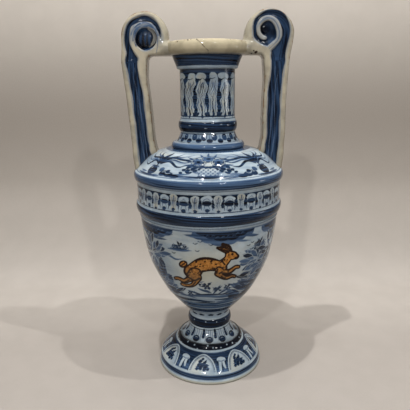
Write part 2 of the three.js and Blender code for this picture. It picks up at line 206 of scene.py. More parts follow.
def waves(angle, height, seed, size=1.0):
    """A gentle unevenness between about -1 and 1 that closes round the vase: a sum of sines whose
    turns are whole numbers."""
    rng = np.random.default_rng(seed)
    total = np.zeros(np.broadcast(angle, height).shape)
    for turns in (2, 3, 5, 8, 13, 21):
        lean, phase = rng.uniform(-0.12, 0.12), rng.uniform(0, 2 * math.pi)
        total += np.sin(turns * angle + lean * size * height * turns**0.5 + phase) / (1 + turns / 6)
    return total / 2.2


# Meshes.


def make_object(node, points, faces, layers, material):
    name = "glazed_" + node
    mesh = bpy.data.meshes.new(name)
    mesh.from_pydata((points * MM).tolist(), [], faces)
    mesh.update()
    for layer, values in layers.items():
        attribute = mesh.attributes.new(layer, "FLOAT", "POINT")
        attribute.data.foreach_set("value", np.ascontiguousarray(values, np.float32))
    mesh.polygons.foreach_set("use_smooth", [True] * len(mesh.polygons))
    mesh.set_sharp_from_angle(angle=SHARP_ANGLE)
    mesh.materials.append(material)
    piece = bpy.data.objects.new(name, mesh)
    bpy.context.scene.collection.objects.link(piece)
    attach(piece, "root")
    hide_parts(node)
    return piece


def grid_faces(rows, columns, close_rows, close_columns=True):
    """The four-cornered faces of a grid whose point number is row times columns plus column."""
    row = np.arange(rows if close_rows else rows - 1)
    column = np.arange(columns if close_columns else columns - 1)
    i, j = np.meshgrid(row, column, indexing="ij")
    up, over = (i + 1) % rows, (j + 1) % columns
    corners = [i * columns + j, i * columns + over, up * columns + over, up * columns + j]
    return np.stack(corners, axis=-1).reshape(-1, 4).tolist()


class Paint(dict):
    """The layers over a surface. Each brushed one holds, for every point, the distance in
    millimetres to the nearest paint, below zero inside it. The soft ones hold strengths."""

    def __init__(self, shape):
        super().__init__({name: np.full(shape, FAR) for name in BRUSHED})

    def paint(self, layer, distance):
        """Adds paint: the nearest of the old and the new."""
        self[layer] = np.minimum(self[layer], distance)

    def lift(self, layer, distance):
        """Leaves the shape bare: takes it out of the paint that is there."""
        self[layer] = np.maximum(self[layer], -distance)

    def clear(self, distance):
        """Leaves the shape bare of both blues."""
        for layer in ("navy", "blue"):
            self.lift(layer, distance)

    def deepen(self, layer, value):
        """Brings a soft layer up to a value where it lies below it."""
        self[layer] = np.maximum(self[layer], value)

    def soften(self, where, **values):
        """Sets soft layers where the condition holds."""
        for layer, value in values.items():
            self[layer] = np.where(where, value, self[layer])

    def draw(self, x, y, *marks):
        """Paints brush strokes, each given by its layer, knots and widths."""
        for layer, knots, widths in marks:
            self.paint(layer, stroke(x, y, knots, widths))

    def fan(self, layer, x, y, leaves, bend):
        """Paints leaves of one layer, each given by its start, tip and width."""
        for start, tip, width in leaves:
            self.paint(layer, leaf(x, y, start, tip, width, bend))


class Wall(Paint):
    """The painted outside of a turned piece, laid flat."""

    def __init__(self, outline, count):
        self.angle = np.arange(count)[None, :] * (2 * math.pi / count)
        length = np.r_[0, np.cumsum(np.linalg.norm(np.diff(outline, axis=0), axis=1))]
        shape = (len(outline), count)
        self.radius = np.broadcast_to(outline[:, :1], shape)
        self.height = np.broadcast_to(outline[:, 1:], shape)
        self.length = np.broadcast_to(length[:, None], shape)
        super().__init__(shape)
        self.update({name: np.zeros(shape) for name in SOFT})
        self["across"] = self.length + 0.4 * waves(self.angle, self.length, 5)

    def waves(self, seed, size=1.0):
        """The unevenness at each point."""
        return waves(self.angle, self.height, seed, size)

    def near(self, height, reach):
        """1 at a height, falling to 0 at reach above and below it."""
        return unit(1 - np.abs(self.height - height) / reach)

    def chart(self, turn=0.0, level=0.0, copies=1, use="height", jitter=0.0, seed=1):
        """x along the wall and y up it, in mm, from a point at that angle and level. With copies,
        the same chart repeats round the wall, each a little off by jitter."""
        period = 2 * math.pi / copies
        share = (self.angle - turn) / period + 0.5
        index = np.floor(share).astype(int) % copies
        x = (share % 1 - 0.5) * period * self.radius
        y = getattr(self, use) - level
        if jitter:
            nudge = np.random.default_rng(seed).uniform(-jitter, jitter, (2, copies))
            x, y = x + nudge[0][index], y + nudge[1][index]
        return x, y

    def band(self, layer, low, high, use="height", wobble=0.25, seed=3):
        """Paints a ring between two heights, its edges as uneven as a brush on a wheel."""
        value = getattr(self, use)
        uneven = wobble * waves(self.angle, value, seed)
        self.paint(layer, np.abs(value + uneven - (low + high) / 2) - (high - low) / 2)

    def bare(self, low, high, wobble=0.2):
        """Wipes every brushed layer between two heights."""
        value = self.height + wobble * self.waves(4)
        for layer in BRUSHED:
            self.lift(layer, np.abs(value - (low + high) / 2) - (high - low) / 2)


def coded(layers):
    """The layers as the materials read them: a distance becomes 0.5 at the paint's edge, 1 well
    inside it and 0 well outside."""
    return {
        name: unit(0.5 - values / (2 * REACH)) if name in BRUSHED else values
        for name, values in layers.items()
    }


def turned_piece(name, outside, inside, paint, material):
    """A piece turned round Z. The outline runs up the outside and down the inside and closes on
    itself, or at a pole where it starts and ends on the axis. paint draws on the outside."""
    count = POINTS_AROUND[name]
    wall = Wall(outside, count)
    paint(wall)
    outline = joined(outside, inside)
    if np.allclose(outline[0], outline[-1], atol=1e-4):
        outline = outline[:-1]
    poles = outline[0][0] == 0 and outline[-1][0] == 0
    body = outline[1:-1] if poles else outline
    angle = np.arange(count) * (2 * math.pi / count)
    throw = 1 + OUT_OF_ROUND * waves(angle[None, :], body[:, 1:], 11)
    radius = body[:, :1] * throw
    points = np.stack(
        [radius * np.sin(angle), -radius * np.cos(angle),
         np.broadcast_to(body[:, 1:], radius.shape)],
        axis=-1,
    ).reshape(-1, 3)
    faces = grid_faces(len(body), count, close_rows=not poles)
    if poles:
        last = len(points)
        points = np.vstack([points, [0, 0, outline[0][1]], [0, 0, outline[-1][1]]])
        ring = np.arange(count)
        after = (ring + 1) % count
        top = (len(body) - 1) * count
        faces += np.stack([after, ring, np.full(count, last)], axis=-1).tolist()
        faces += np.stack([top + ring, top + after, np.full(count, last + 1)], axis=-1).tolist()
    layers = {}
    painted = len(outside) - (1 if poles else 0)
    for layer, values in coded(wall).items():
        values = values[1:] if poles else values
        full = np.zeros(len(points))
        full[: painted * count] = values[:painted].reshape(-1)
        layers[layer] = full
    return make_object(name, points, faces, layers, material)


# Brush strokes, as distances in millimetres.


def spot(x, y, cx, cy, a, b=None, lean=0.0):
    """Distance to an ellipse with half axes a and b, turned by lean in degrees: how far its scaled
    radius is from one, over that radius' steepness."""
    b = a if b is None else b
    c, s = math.cos(math.radians(lean)), math.sin(math.radians(lean))
    u, v = (x - cx) * c + (y - cy) * s, -(x - cx) * s + (y - cy) * c
    k = np.hypot(u / a, v / b)
    return k * (k - 1) / np.maximum(np.hypot(u / a**2, v / b**2), 1e-6)


def from_segment(x, y, start, end):
    """How far along a straight piece its nearest point lies, from 0 to 1, and the distance to
    it."""
    (ax, ay), (bx, by) = start, end
    dx, dy = bx - ax, by - ay
    t = unit(((x - ax) * dx + (y - ay) * dy) / max(dx * dx + dy * dy, 1e-9))
    return t, np.hypot(x - ax - t * dx, y - ay - t * dy)


def stroke(x, y, knots, widths, step=1.6):
    """Distance to a brush stroke: a smooth line through the knots, whose width runs from knot to
    knot. Only points near its box are worked out, because the others are bare."""
    knots = np.array(knots, float)
    widths = np.broadcast_to(np.array(widths, float), len(knots))
    path = spline(np.c_[knots, widths], step)
    out = np.full(np.broadcast(x, y).shape, FAR)
    margin = REACH + widths.max() / 2
    low, high = path[:, :2].min(0) - margin, path[:, :2].max(0) + margin
    near = (x > low[0]) & (x < high[0]) & (y > low[1]) & (y < high[1])
    px, py = x[near], y[near]
    best = np.full(px.shape, FAR)
    for (*start, first), (*end, last) in zip(path[:-1], path[1:]):
        t, gap = from_segment(px, py, start, end)
        best = np.minimum(best, gap - (first + (last - first) * t) / 2)
    out[near] = best
    return out


def around(middle, way, across, up):
    """The point at an angle on an ellipse with those half axes."""
    return middle[0] + across * math.cos(way), middle[1] + up * math.sin(way)


def partway(start, end, share):
    """The point at a share of the way from start to end."""
    return tuple((1 - share) * a + share * b for a, b in zip(start, end))


def leaf(x, y, start, end, width, bend=0.0):
    """A brush mark that starts thin, swells and ends in a point, bent sideways by bend mm."""
    start, end = np.array(start, float), np.array(end, float)
    along = end - start
    side = np.array([-along[1], along[0]]) / max(np.linalg.norm(along), 1e-6) * bend
    middle = start + along * 0.55 + side
    return stroke(x, y, [start, middle, end], [width * 0.35, width, 0.4])


def polygon(x, y, corners):
    """Distance to a closed outline, below zero inside it: the nearest of its sides, with the sign
    from how often a line to the left crosses them."""
    corners = np.array(corners, float)
    best = np.full(np.broadcast(x, y).shape, FAR)
    inside = np.zeros(best.shape, bool)
    for (ax, ay), (bx, by) in zip(corners, np.roll(corners, -1, axis=0)):
        best = np.minimum(best, from_segment(x, y, (ax, ay), (bx, by))[1])
        if by != ay:
            crosses = (ay > y) != (by > y)
            inside ^= crosses & (x < (bx - ax) * (y - ay) / (by - ay) + ax)
    return np.where(inside, -best, best)


def symmetric(half):
    """A closed outline from one half of it, which the other half mirrors."""
    return [*half, *((-u, v) for u, v in half[::-1] if u)]


def nearest(*distances):
    """Shapes together: the smallest of their distances."""
    out = distances[0]
    for distance in distances[1:]:
        out = np.minimum(out, distance)
    return out


# Colours and glazes.


def linear(code):
    """An sRGB hex colour as linear red, green, blue and alpha."""
    channels = [int(code[i : i + 2], 16) / 255 for i in (1, 3, 5)]
    return [c / 12.92 if c <= 0.04045 else ((c + 0.055) / 1.055) ** 2.4 for c in channels] + [1.0]


def add(tree, kind, settings=None, inputs=None):
    """Adds a node: settings are its own properties, and inputs are values, or sockets to link."""
    node = tree.nodes.new(kind)
    for name, value in (settings or {}).items():
        setattr(node, name, value)
    for key, value in (inputs or {}).items():
        if isinstance(value, bpy.types.NodeSocket):
            tree.links.new(value, node.inputs[key])
        else:
            node.inputs[key].default_value = value
    return node


def mixed(tree, share, first, second):
    """The first colour going over to the second by share."""
    node = add(tree, "ShaderNodeMix", {"data_type": "RGBA"}, {0: share, 6: first, 7: second})
    return node.outputs[2]


def ranged(tree, value, low, high, to_low=0.0, to_high=1.0):
    """A value between low and high spread over another range, easing in and out."""
    node = add(tree, "ShaderNodeMapRange", {"interpolation_type": "SMOOTHSTEP"},
               {0: value, 1: low, 2: high, 3: to_low, 4: to_high})
    return node.outputs[0]


def maths(tree, operation, first, second):
    """Two numbers joined by an operation."""
    return add(tree, "ShaderNodeMath", {"operation": operation}, {0: first, 1: second}).outputs[0]


def noise(tree, vector, scale, detail=2.0, rough=0.5):
    """Blender's noise between 0 and 1 at a scale in cycles a metre."""
    node = add(tree, "ShaderNodeTexNoise", {},
               {"Vector": vector, "Scale": scale, "Detail": detail, "Roughness": rough})
    return node.outputs[0]


def attribute(tree, name):
    """One of the piece's own layers."""
    return add(tree, "ShaderNodeAttribute", {"attribute_name": name}).outputs["Fac"]


def glaze_material(name, ground, shaded, warm_tint, colours):
    """Tin glaze over a pale clay body, painted in oxides before firing, so the brushwork lies in
    the glass: one glossy skin over everything, with the paint's edges slightly bled.

    ground and shaded are the glaze where it is thick and thin, warm_tint where it turned in the
    kiln. The layers of the mesh say where each pigment lies.
    """
    material = bpy.data.materials.new(name)
    material.use_nodes = True
    tree = material.node_tree
    tree.nodes.clear()
    place = add(tree, "ShaderNodeTexCoord").outputs["Object"]

    # Glaze pools and thins over some 15 mm, and is finely mottled over 2 mm.
    pooled = ranged(tree, noise(tree, place, 65, 3), 0.35, 0.65)
    mottled = ranged(tree, noise(tree, place, 420, 2), 0.3, 0.7)
    colour = mixed(tree, pooled, ground, shaded)
    colour = mixed(tree, maths(tree, "MULTIPLY", mottled, 0.22), colour, warm_tint)
    colour = mixed(tree, attribute(tree, "warm"), colour, warm_tint)

    # A brush leaves streaks along its path: noise that changes fast across the stroke only.
    slow = add(tree, "ShaderNodeVectorMath", {"operation": "SCALE"}, {0: place, "Scale": 26.0})
    across = add(tree, "ShaderNodeCombineXYZ", {},
                 {0: maths(tree, "MULTIPLY", attribute(tree, "across"), 0.55)})
    flow = add(tree, "ShaderNodeVectorMath", {"operation": "ADD"},
               {0: slow.outputs[0], 1: across.outputs[0]})
    streaks = noise(tree, flow.outputs[0], 1.0, 3, 0.6)
    ragged = maths(tree, "MULTIPLY", maths(tree, "SUBTRACT", noise(tree, place, 900, 2), 0.5), 0.09)
    thin = ranged(tree, maths(tree, "ADD", streaks, ragged), 0.36, 0.66)

    washed = maths(tree, "MULTIPLY", attribute(tree, "wash"),
                   ranged(tree, streaks, 0.25, 0.75, 0.55, 1.0))
    colour = mixed(tree, washed, colour, colours.wash)

    def pigment(layer, bleed):
        edge = maths(tree, "ADD", attribute(tree, layer), ragged)
        return ranged(tree, edge, 0.5 - bleed, 0.5 + bleed)

    # Cobalt goes from a clear mid blue where the brush ran dry to nearly black where it was full.
    middle = mixed(tree, thin, colours.blue, colours.blue_light)
    colour = mixed(tree, pigment("blue", 0.09), colour, middle)
    full = maths(tree, "SUBTRACT", 1.0, attribute(tree, "full"))
    dark = mixed(tree, maths(tree, "MULTIPLY", thin, full), colours.navy, colours.navy_light)
    colour = mixed(tree, pigment("navy", 0.07), colour, dark)
    # Antimony yellow turned ochre by iron, and manganese brown for outlines, cracks and chips.
    ochre = mixed(tree, mottled, colours.ochre, colours.ochre_dark)
    colour = mixed(tree, pigment("ochre", 0.06), colour, ochre)
    colour = mixed(tree, pigment("brown", 0.06), colour, colours.brown)
    # Painted shade in creases, under mouldings and on the handles' sides, grime, and the hare's
    # thicker pigment darken the colour, in patches of 8 mm.
    shade_grime_and_thick_pigment = attribute(tree, "shade_grime_and_thick_pigment")
    shade_grime_share = maths(tree, "MULTIPLY", shade_grime_and_thick_pigment,
                  ranged(tree, noise(tree, place, 120, 3), 0.3, 0.7, 0.6, 1.0))
    colour = mixed(tree, shade_grime_share, colour, colours.shade_grime_and_thick_pigment)

    # Edges where the glaze drew back show the brown clay through, in patches of 4 mm.
    uneven = noise(tree, place, 260, 4, 0.7)
    wear = maths(tree, "MULTIPLY", attribute(tree, "wear"), 0.3)
    worn = ranged(tree, maths(tree, "ADD", uneven, wear), 0.68, 0.8)
    colour = mixed(tree, worn, colour, colours.clay)

    # Orange-peel ripple 4 mm apart, shallow under the gloss.
    ripple = noise(tree, place, 240, 2)
    bump = add(tree, "ShaderNodeBump", {}, {"Strength": 0.28, "Distance": 0.0006, "Height": ripple})
    rough = maths(tree, "ADD", ranged(tree, streaks, 0.3, 0.7, 0.06, 0.11),
                  maths(tree, "MULTIPLY", worn, 0.35))
    shader = add(tree, "ShaderNodeBsdfPrincipled", {}, {
        "Base Color": colour, "Roughness": rough, "IOR": 1.5, "Specular IOR Level": 0.15,
        "Normal": bump.outputs[0],
    })
    add(tree, "ShaderNodeOutputMaterial", {}, {0: shader.outputs[0]})
    return material


# What is drawn on the turned sections. Heights are in millimetres above the table.

# The two pictured sides and the places below the handles between them.
FACES = (0, math.pi)
MARGINS = (0.5 * math.pi, 1.5 * math.pi)
# The hare's size, and the point on the belly about which it is drawn.
HARE_SCALE, HARE_X, HARE_Y = 0.88, -5.0, 146.0
# How much wider, and taller, the shoulder's drawings are than their coordinates.
BASKET_WIDENING = 1.12
SPRAY_WIDENING = (1.14, 1.05)


def level_of(wall, height):
    """The length along the outline at which the wall reaches a height."""
    return np.interp(height, wall.height[:, 0], wall.length[:, 0])


def paint_foot(wall):
    """A cream resting edge, a blue band, and seven arched panels with florets between dark
    panels that hold a pale bud on a stalk."""
    wall["warm"] = 0.8 * unit((3.8 - wall.height) / 0.8)
    # Darker over the lowest 1.5 mm, where the foot meets the table.
    wall["shade_grime_and_thick_pigment"] = 0.9 * unit(1.5 - wall.height)
    base, top = level_of(wall, 13), level_of(wall, 28.2)
    wall.band("blue", base, top, "length", seed=22)
    wall.band("navy", base + 7, top, "length", 1.6, seed=23)
    rng = np.random.default_rng(24)
    wall["wash"] = np.where(wall.height > 12.8, 0.12, 0.2)
    arches = [-60, -9, 38, 89, 141, 193, 246]
    for number, degrees in enumerate(arches):
        x, y = wall.chart(math.radians(degrees), base, use="length")
        arch = [(16, -3), (15, 1), (13.4, 6), (9.6, 13), (4.2, 18), (0, 19.6)]
        shape = polygon(x, y, spline(symmetric(arch), 2))
        wall.clear(shape - 1.5)
        wall.paint("navy", np.maximum(np.abs(shape - 1.9) - 0.45, -0.3 - y))
        wall.paint("navy", np.maximum(np.abs(shape + 0.4) - 0.42, 0.5 - y))
        wall.paint("blue", np.maximum(np.abs(shape + 1.5) - 0.3, 0.8 - y))
        wall.deepen("warm", 0.4 * unit(-shape / 2) * np.clip(0.5 - x / 12, 0.1, 1))
        inner = unit(-shape / 2)
        wall["wash"] = wall["wash"] * (1 - 0.5 * inner) + 0.45 * inner * unit(x / 12)
        lean = 0.5 * math.sin(3.1 * number)
        for cx, cy, size in (
            (-0.6, 15, 1.6), (-3, 12.4, 2), (1.8, 11.4, 2.1), (-0.6, 8.6, 2.3), (-4.6, 8.2, 2),
            (3.4, 7.4, 2.2), (-2.4, 4.6, 2.2), (2.2, 3.8, 2.3), (6, 3.6, 1.6), (-6.6, 3.6, 1.7),
        ):
            wall.paint("navy",
                       spot(x, y, cx + lean, cy, size * rng.uniform(1, 1.3), size * 0.9,
                            rng.uniform(0, 90)))
        for tip in ((-8, 6), (7.4, 8.4), (-5.6, 12.6), (4.2, 14.6), (8.2, 4.6), (-9.2, 3.2)):
            wall.paint("blue", leaf(x, y, (lean, 6), tip, 3, 0.12))
        wall.lift("navy", spot(x, y, lean + 0.8, 13, 1, 0.8))
    gaps = [(a + b) / 2 for a, b in zip(arches, arches[1:] + [arches[0] + 360])]
    for number, degrees in enumerate(gaps):
        x, y = wall.chart(math.radians(degrees), base, use="length")
        sway = 0.8 * math.sin(2.3 * number)
        bud = nearest(
            spot(x, y, sway, 14, 5.2, 3.1, -6),
            stroke(x, y, [(sway - 1.2, 12), (sway - 1.8, 7.5), (sway - 3, 2)], [4.6, 4, 2.6]),
            stroke(x, y, [(sway + 1.6, 12), (sway + 2, 8), (sway + 3.2, 4)], [3.6, 3, 1.6]),
        )
        wall.clear(bud)
        wall.draw(
            x, y,
            ("blue", [(sway - 3.5, 13), (sway, 12), (sway + 3.6, 12.9)], 1),
            ("navy", [(sway + 0.2, 11), (sway - 0.2, 6), (sway - 0.4, 1)], [0.8, 1.7, 1.2]),
        )
        for flip in (x, -x):
            streak = stroke(flip, y, [(6.4, 3.5), (7, 8), (5.8, 12)], [0.6, 1.3, 0.5])
            wall.lift("navy", streak)
            wall.paint("blue", streak)
    wall.bare(10.9, 12.7, wobble=0.15)
    wall.bare(28.2, 29.5, wobble=0.15)
    wall.bare(3.5, 5.1, wobble=0.15)
    wall.deepen("wash", 0.25 * (wall.height < 13))
    wall.band("blue", 5.2, 10.8, seed=21)
    streak = wall.height - 8.3 + 0.8 * wall.waves(26, 2)
    wall.paint("navy", np.abs(streak) - 1.7)
    wall.lift("navy", np.abs(streak + 0.3) - 0.35)


def paint_cone(wall):
    """A dark moulding with small bare flecks painted as highlights, under pale petals with a
    dark disc between their tips and a dark bar between their stems."""
    wall.band("navy", 29.8, 34.9, seed=31)
    wall["full"] = 0.95 * unit((35.6 - wall.height) / 0.5)
    # Painted highlights: small bare flecks scattered round the dark moulding.
    x, y = wall.chart(0.1, 32.2, 29, jitter=2.4, seed=6)
    wall.lift("navy", spot(x, y, 0, 0, 0.85, 0.65))
    wall["wash"] += 0.3
    discs = 12
    start = math.radians(-1.5)
    x, y = wall.chart(start, level_of(wall, 38), discs, "length", 0.5, seed=32)
    wall.paint("navy", spot(x, y, 0, 0, 4.4, 3.9))
    wall.lift("navy", stroke(x, y, [(-1.5, 1.2), (0, 1.9), (1.3, 1.4)], 0.5))
    for flip in (x, -x):
        wall.paint("blue", stroke(flip, y, [(1.5, 3), (1.4, 7), (1.2, 11)], [0.5, 0.7, 0.5]))
    x, y = wall.chart(start + math.pi / discs, level_of(wall, 38.2), discs, "length", 0.4, seed=33)
    petal = nearest(spot(x, y, 0, 0.5, 3.2, 3.6),
                    stroke(x, y, [(0, 2), (0.2, 6), (0, 11)], [5.4, 4, 3.2]))
    wall["wash"] = wall["wash"] * np.clip(0.5 + petal / 1.6, 0.15, 1)
    wall.paint("navy", stroke(x, y, [(0, 2.6), (0.2, 7), (0, 11)], [3.8, 3.2, 2.4]))
    for flip in (x, -x):
        wall.paint("blue", stroke(flip, y, [(2.9, -2), (3.2, 3), (2.4, 9)], [0.5, 0.8, 0.5]))
    wall.band("navy", 46.9, 47.7, wobble=0.1, seed=34)
    # Painted shade in the crease between the moulding and the cone.
    wall["shade_grime_and_thick_pigment"] = 0.35 * wall.near(35.2, 1.5)


def paint_knob(wall):
    """A nearly black ring with small bare flecks painted as highlights, and a pale line above it."""
    wall.band("navy", 49, 60.4, seed=41)
    # Painted highlights: small pale flecks left bare round the ring.
    x, y = wall.chart(0.35, 56.5, 11, jitter=2.5, seed=7)
    wall.lift("navy", spot(x, y, 0, 0, 0.8, 0.6))
    wall["wash"] += 0.35


def paint_belly(wall):
    """Rings and dashes at the stem, a landscape round the belly, and a dark moulding on top."""
    wall["wash"] += 0.32 + 0.22 * wall.waves(58, 2)
    wall["warm"] += 0.30 * unit(wall.waves(59, 2) + 0.5)
    for turn in MARGINS:
        paint_margin(wall, turn)
    for turn, side in zip(FACES, (1, -1)):
        paint_landscape(wall, turn, side)
    stem_top, crown = 86.6, 183.4
    wall.bare(62, stem_top)
    wall.soften(wall.height < stem_top, wash=0.6, warm=0)
    x, y = wall.chart(0.06, 66.6, 15, jitter=0.5, seed=52)
    wall.draw(
        x, y,
        ("navy", [(-1.5, 0), (0, 0.3), (1.5, 0)], [3, 3.6, 3]),
        ("blue", [(-3.2, 0.2), (3.2, 0.2)], [1.6, 1.6]),
    )
    wall.band("navy", 70.8, 71.5, seed=50)
    wall.band("navy", 73.4, 80.4, seed=53)
    wall.band("blue", 81.8, 86.5, seed=54)
    wall.bare(crown, 201.3)
    wall.soften(wall.height > crown, wash=0.7, warm=0.1)
    wall.band("blue", 183.3, 184.5, wobble=0.15, seed=55)
    wall.band("navy", 186.5, 187.4, wobble=0.1, seed=56)
    wall.band("navy", 188.9, 200.8, wobble=0.15, seed=57)


def paint_cloud(wall, x, y, puffs, shade):
    """A cloud: dark puffs over paler ones that hang out by shade to the left and below."""
    for cx, cy, a, b in puffs:
        wall.paint("blue", spot(x, y, cx - shade[0], cy - shade[1], a + 0.6, b + 0.4))
        wall.paint("navy", spot(x, y, cx + 1, cy + 0.6, a * 0.95, b * 0.88))


def paint_margin(wall, turn):
    """Between the two landscapes: a cloud, an island with tufts, and a bush on a bank."""
    x, y = wall.chart(turn)
    near = np.where(np.abs(x) < 42, x, 4 * FAR)
    puffs = ((-16, 184, 9, 5), (-6, 181.5, 10, 8), (5, 180.5, 10, 8.5), (15, 183, 9, 6))
    paint_cloud(wall, near, y, puffs, (1.6, 2.6))
    wall.paint("blue", leaf(near, y, (-18, 158), (16, 159), 3.6, 0.03))
    wall.paint("navy", leaf(near, y, (-14, 158.6), (10, 159.4), 2, 0.03))
    floret(wall, near, y, -5, 163.5, 3.2, 301)
    floret(wall, near, y, 5, 162.5, 2.4, 302)
    wall.paint("navy", stroke(near, y, [(2, 103), (-1, 114), (1, 126)], [5, 3.8, 2.6]))
    dab_cluster(wall, near, y, (0, 130), (15, 12), 40, 6.2, 303)
    dab_cluster(wall, near, y, (0, 108), (24, 7), 34, 5.6, 304, 60)
    wall.draw(
        near, y,
        ("blue", [(-30, 101), (-8, 97), (16, 99), (32, 97)], [1.2, 4.2, 3.6, 1.2]),
        ("navy", [(-24, 94), (0, 92), (26, 94)], [1.2, 3.8, 1.4]),
        ("blue", [(-26, 89.5), (2, 88.6), (24, 89.6)], [1.4, 3.2, 1.4]),
    )


def paint_frieze(wall):
    """Two white lines, and between them on a dark ground 22 round caps over a dark ball, each on
    a pale foot, with a spoon-shaped leaf between every two."""
    low, high, copies = 203.4, 221.8, 22
    wall["wash"] += 0.5 + 0.3 * wall.waves(66, 3)
    wall.band("navy", low, high, seed=61)
    half = math.pi / copies
    start = math.radians(-0.9)
    wall.lift("navy", np.abs(wall.height - low - 4.2) - 3.2)
    x, y = wall.chart(start, low, copies, jitter=0.7, seed=63)
    bent, lifted = (0.9 * wall.waves(seed, 6) for seed in (67, 68))
    x, y = x + bent, y + lifted
    cap = [(-4.9, 0.4), (-4.6, 4), (-5.2, 8), (-6, 11.6), (-4.8, 15.2), (0, 16.8)]
    shape = polygon(x, y, spline(symmetric(cap), 1.5))
    wall.lift("navy", shape)
    wall["wash"] = wall["wash"] * np.where(y > 12.4, 0.75, 1)
    wall.paint("navy", spot(x, y, 0, 9.6, 4.9, 2.7))
    wall.paint("blue", stroke(x, y, [(-4.2, 11.4), (0, 14.2), (4.2, 11.4)], 0.6))
    wall.lift("navy", stroke(x, y, [(-2.6, 12), (0, 13), (2.6, 12.1)], 0.5))
    wall.paint("navy", spot(x, y, 0, 2.3, 2.4, 1.9))
    for flip in (x, -x):
        wall.draw(
            flip, y,
            ("blue", [(1.9, 8), (2.2, 5.5), (3.2, 2.6)], [0.9, 0.8, 0.5]),
            ("navy", [(5.9, 12), (5.5, 7), (5.3, 2.4)], [1.8, 1.5, 0.7]),
        )
    x, y = wall.chart(start + half, low, copies, jitter=0.7, seed=64)
    x, y = x + bent, y + lifted
    spoon = [(-3.8, 0.4), (-3.2, 4), (-2.9, 8.5), (-4.2, 12.6), (-3.8, 16.2), (0, 17.9)]
    shape = polygon(x, y, spline(symmetric(spoon), 1.5))
    wall.lift("navy", shape)
    wall.deepen("warm", 0.8 * unit(-shape) * unit(wall.waves(65) + 0.45))
    wall.paint("blue", stroke(x, y, [(0.4, 15.6), (-0.3, 9), (0, 3)], [1.4, 1, 0.6]))
    wall.paint("navy", spot(x, y, 0, 1.9, 1.9, 1.6))
    wall.paint("navy", stroke(x, y, [(-2.4, 11.6), (0, 10.6), (2.4, 11.6)], [0.5, 0.9, 0.5]))
    for flip in (x, -x):
        wall.paint("blue", stroke(flip, y, [(2.2, 14), (1.5, 10), (1.8, 5)], [0.6, 0.7, 0.5]))
        wall.paint("navy", spot(flip, y, 4.3, 6.8, 1.3, 2))
    wall.bare(201.2, low, wobble=0.15)
    wall.bare(high, 224.6, wobble=0.15)
    wall.band("blue", low - 0.1, low + 0.5, wobble=0.1, seed=62)
    wall.soften((wall.height < low) | (wall.height > high), wash=0.35)
    # Painted shade at the frieze's top, just under the shoulder's moulding.
    wall["shade_grime_and_thick_pigment"] = 0.3 * wall.near(222.6, 1)


def paint_shoulder(wall):
    """A mid-blue moulding, and a dome with four leafy sprays and two baskets of flowers."""
    wall.band("blue", 226.6, 235.2, seed=71)
    wall.band("navy", 229.4, 230.4, wobble=0.5, seed=72)
    wall.band("navy", 227, 228.2, wobble=0.4, seed=74)
    wall["wash"] = 0.25 + 0.75 * unit(227 - wall.height)
    base = level_of(wall, 236.6)
    above = wall.length > base
    wall.soften(above, wash=0.42 + 0.45 * waves(wall.angle, wall.length, 75, 3))
    wall["warm"] = np.where(above, 0.5 * unit(waves(wall.angle, wall.length, 76, 2) - 0.1), 0)
    for turn in FACES:
        for side in (-1, 1):
            paint_spray(wall, turn + side * math.radians(47), base, side)
        paint_basket(wall, turn, base)
    wall.band("blue", base - 0.4, base + 0.5, "length", 0.3, seed=77)
    wall.band("blue", level_of(wall, 257.9), level_of(wall, 258.6) + 1, "length", 0.1, seed=73)
    # Painted shade on the moulding's underside.
    wall["shade_grime_and_thick_pigment"] = 0.4 * unit((226 - wall.height) / 1.5)


def frond(x, y, start, tip, width, sway):
    """A brush mark that snakes along its line: out to one side by sway of its length, then to
    the other."""
    start, tip = np.array(start, float), np.array(tip, float)
    along = tip - start
    side = np.array([-along[1], along[0]]) * sway
    knots = [start, start + 0.3 * along + side, start + 0.68 * along - 0.8 * side, tip]
    return stroke(x, y, knots, [width * 0.6, width, width * 0.75, 0.3])


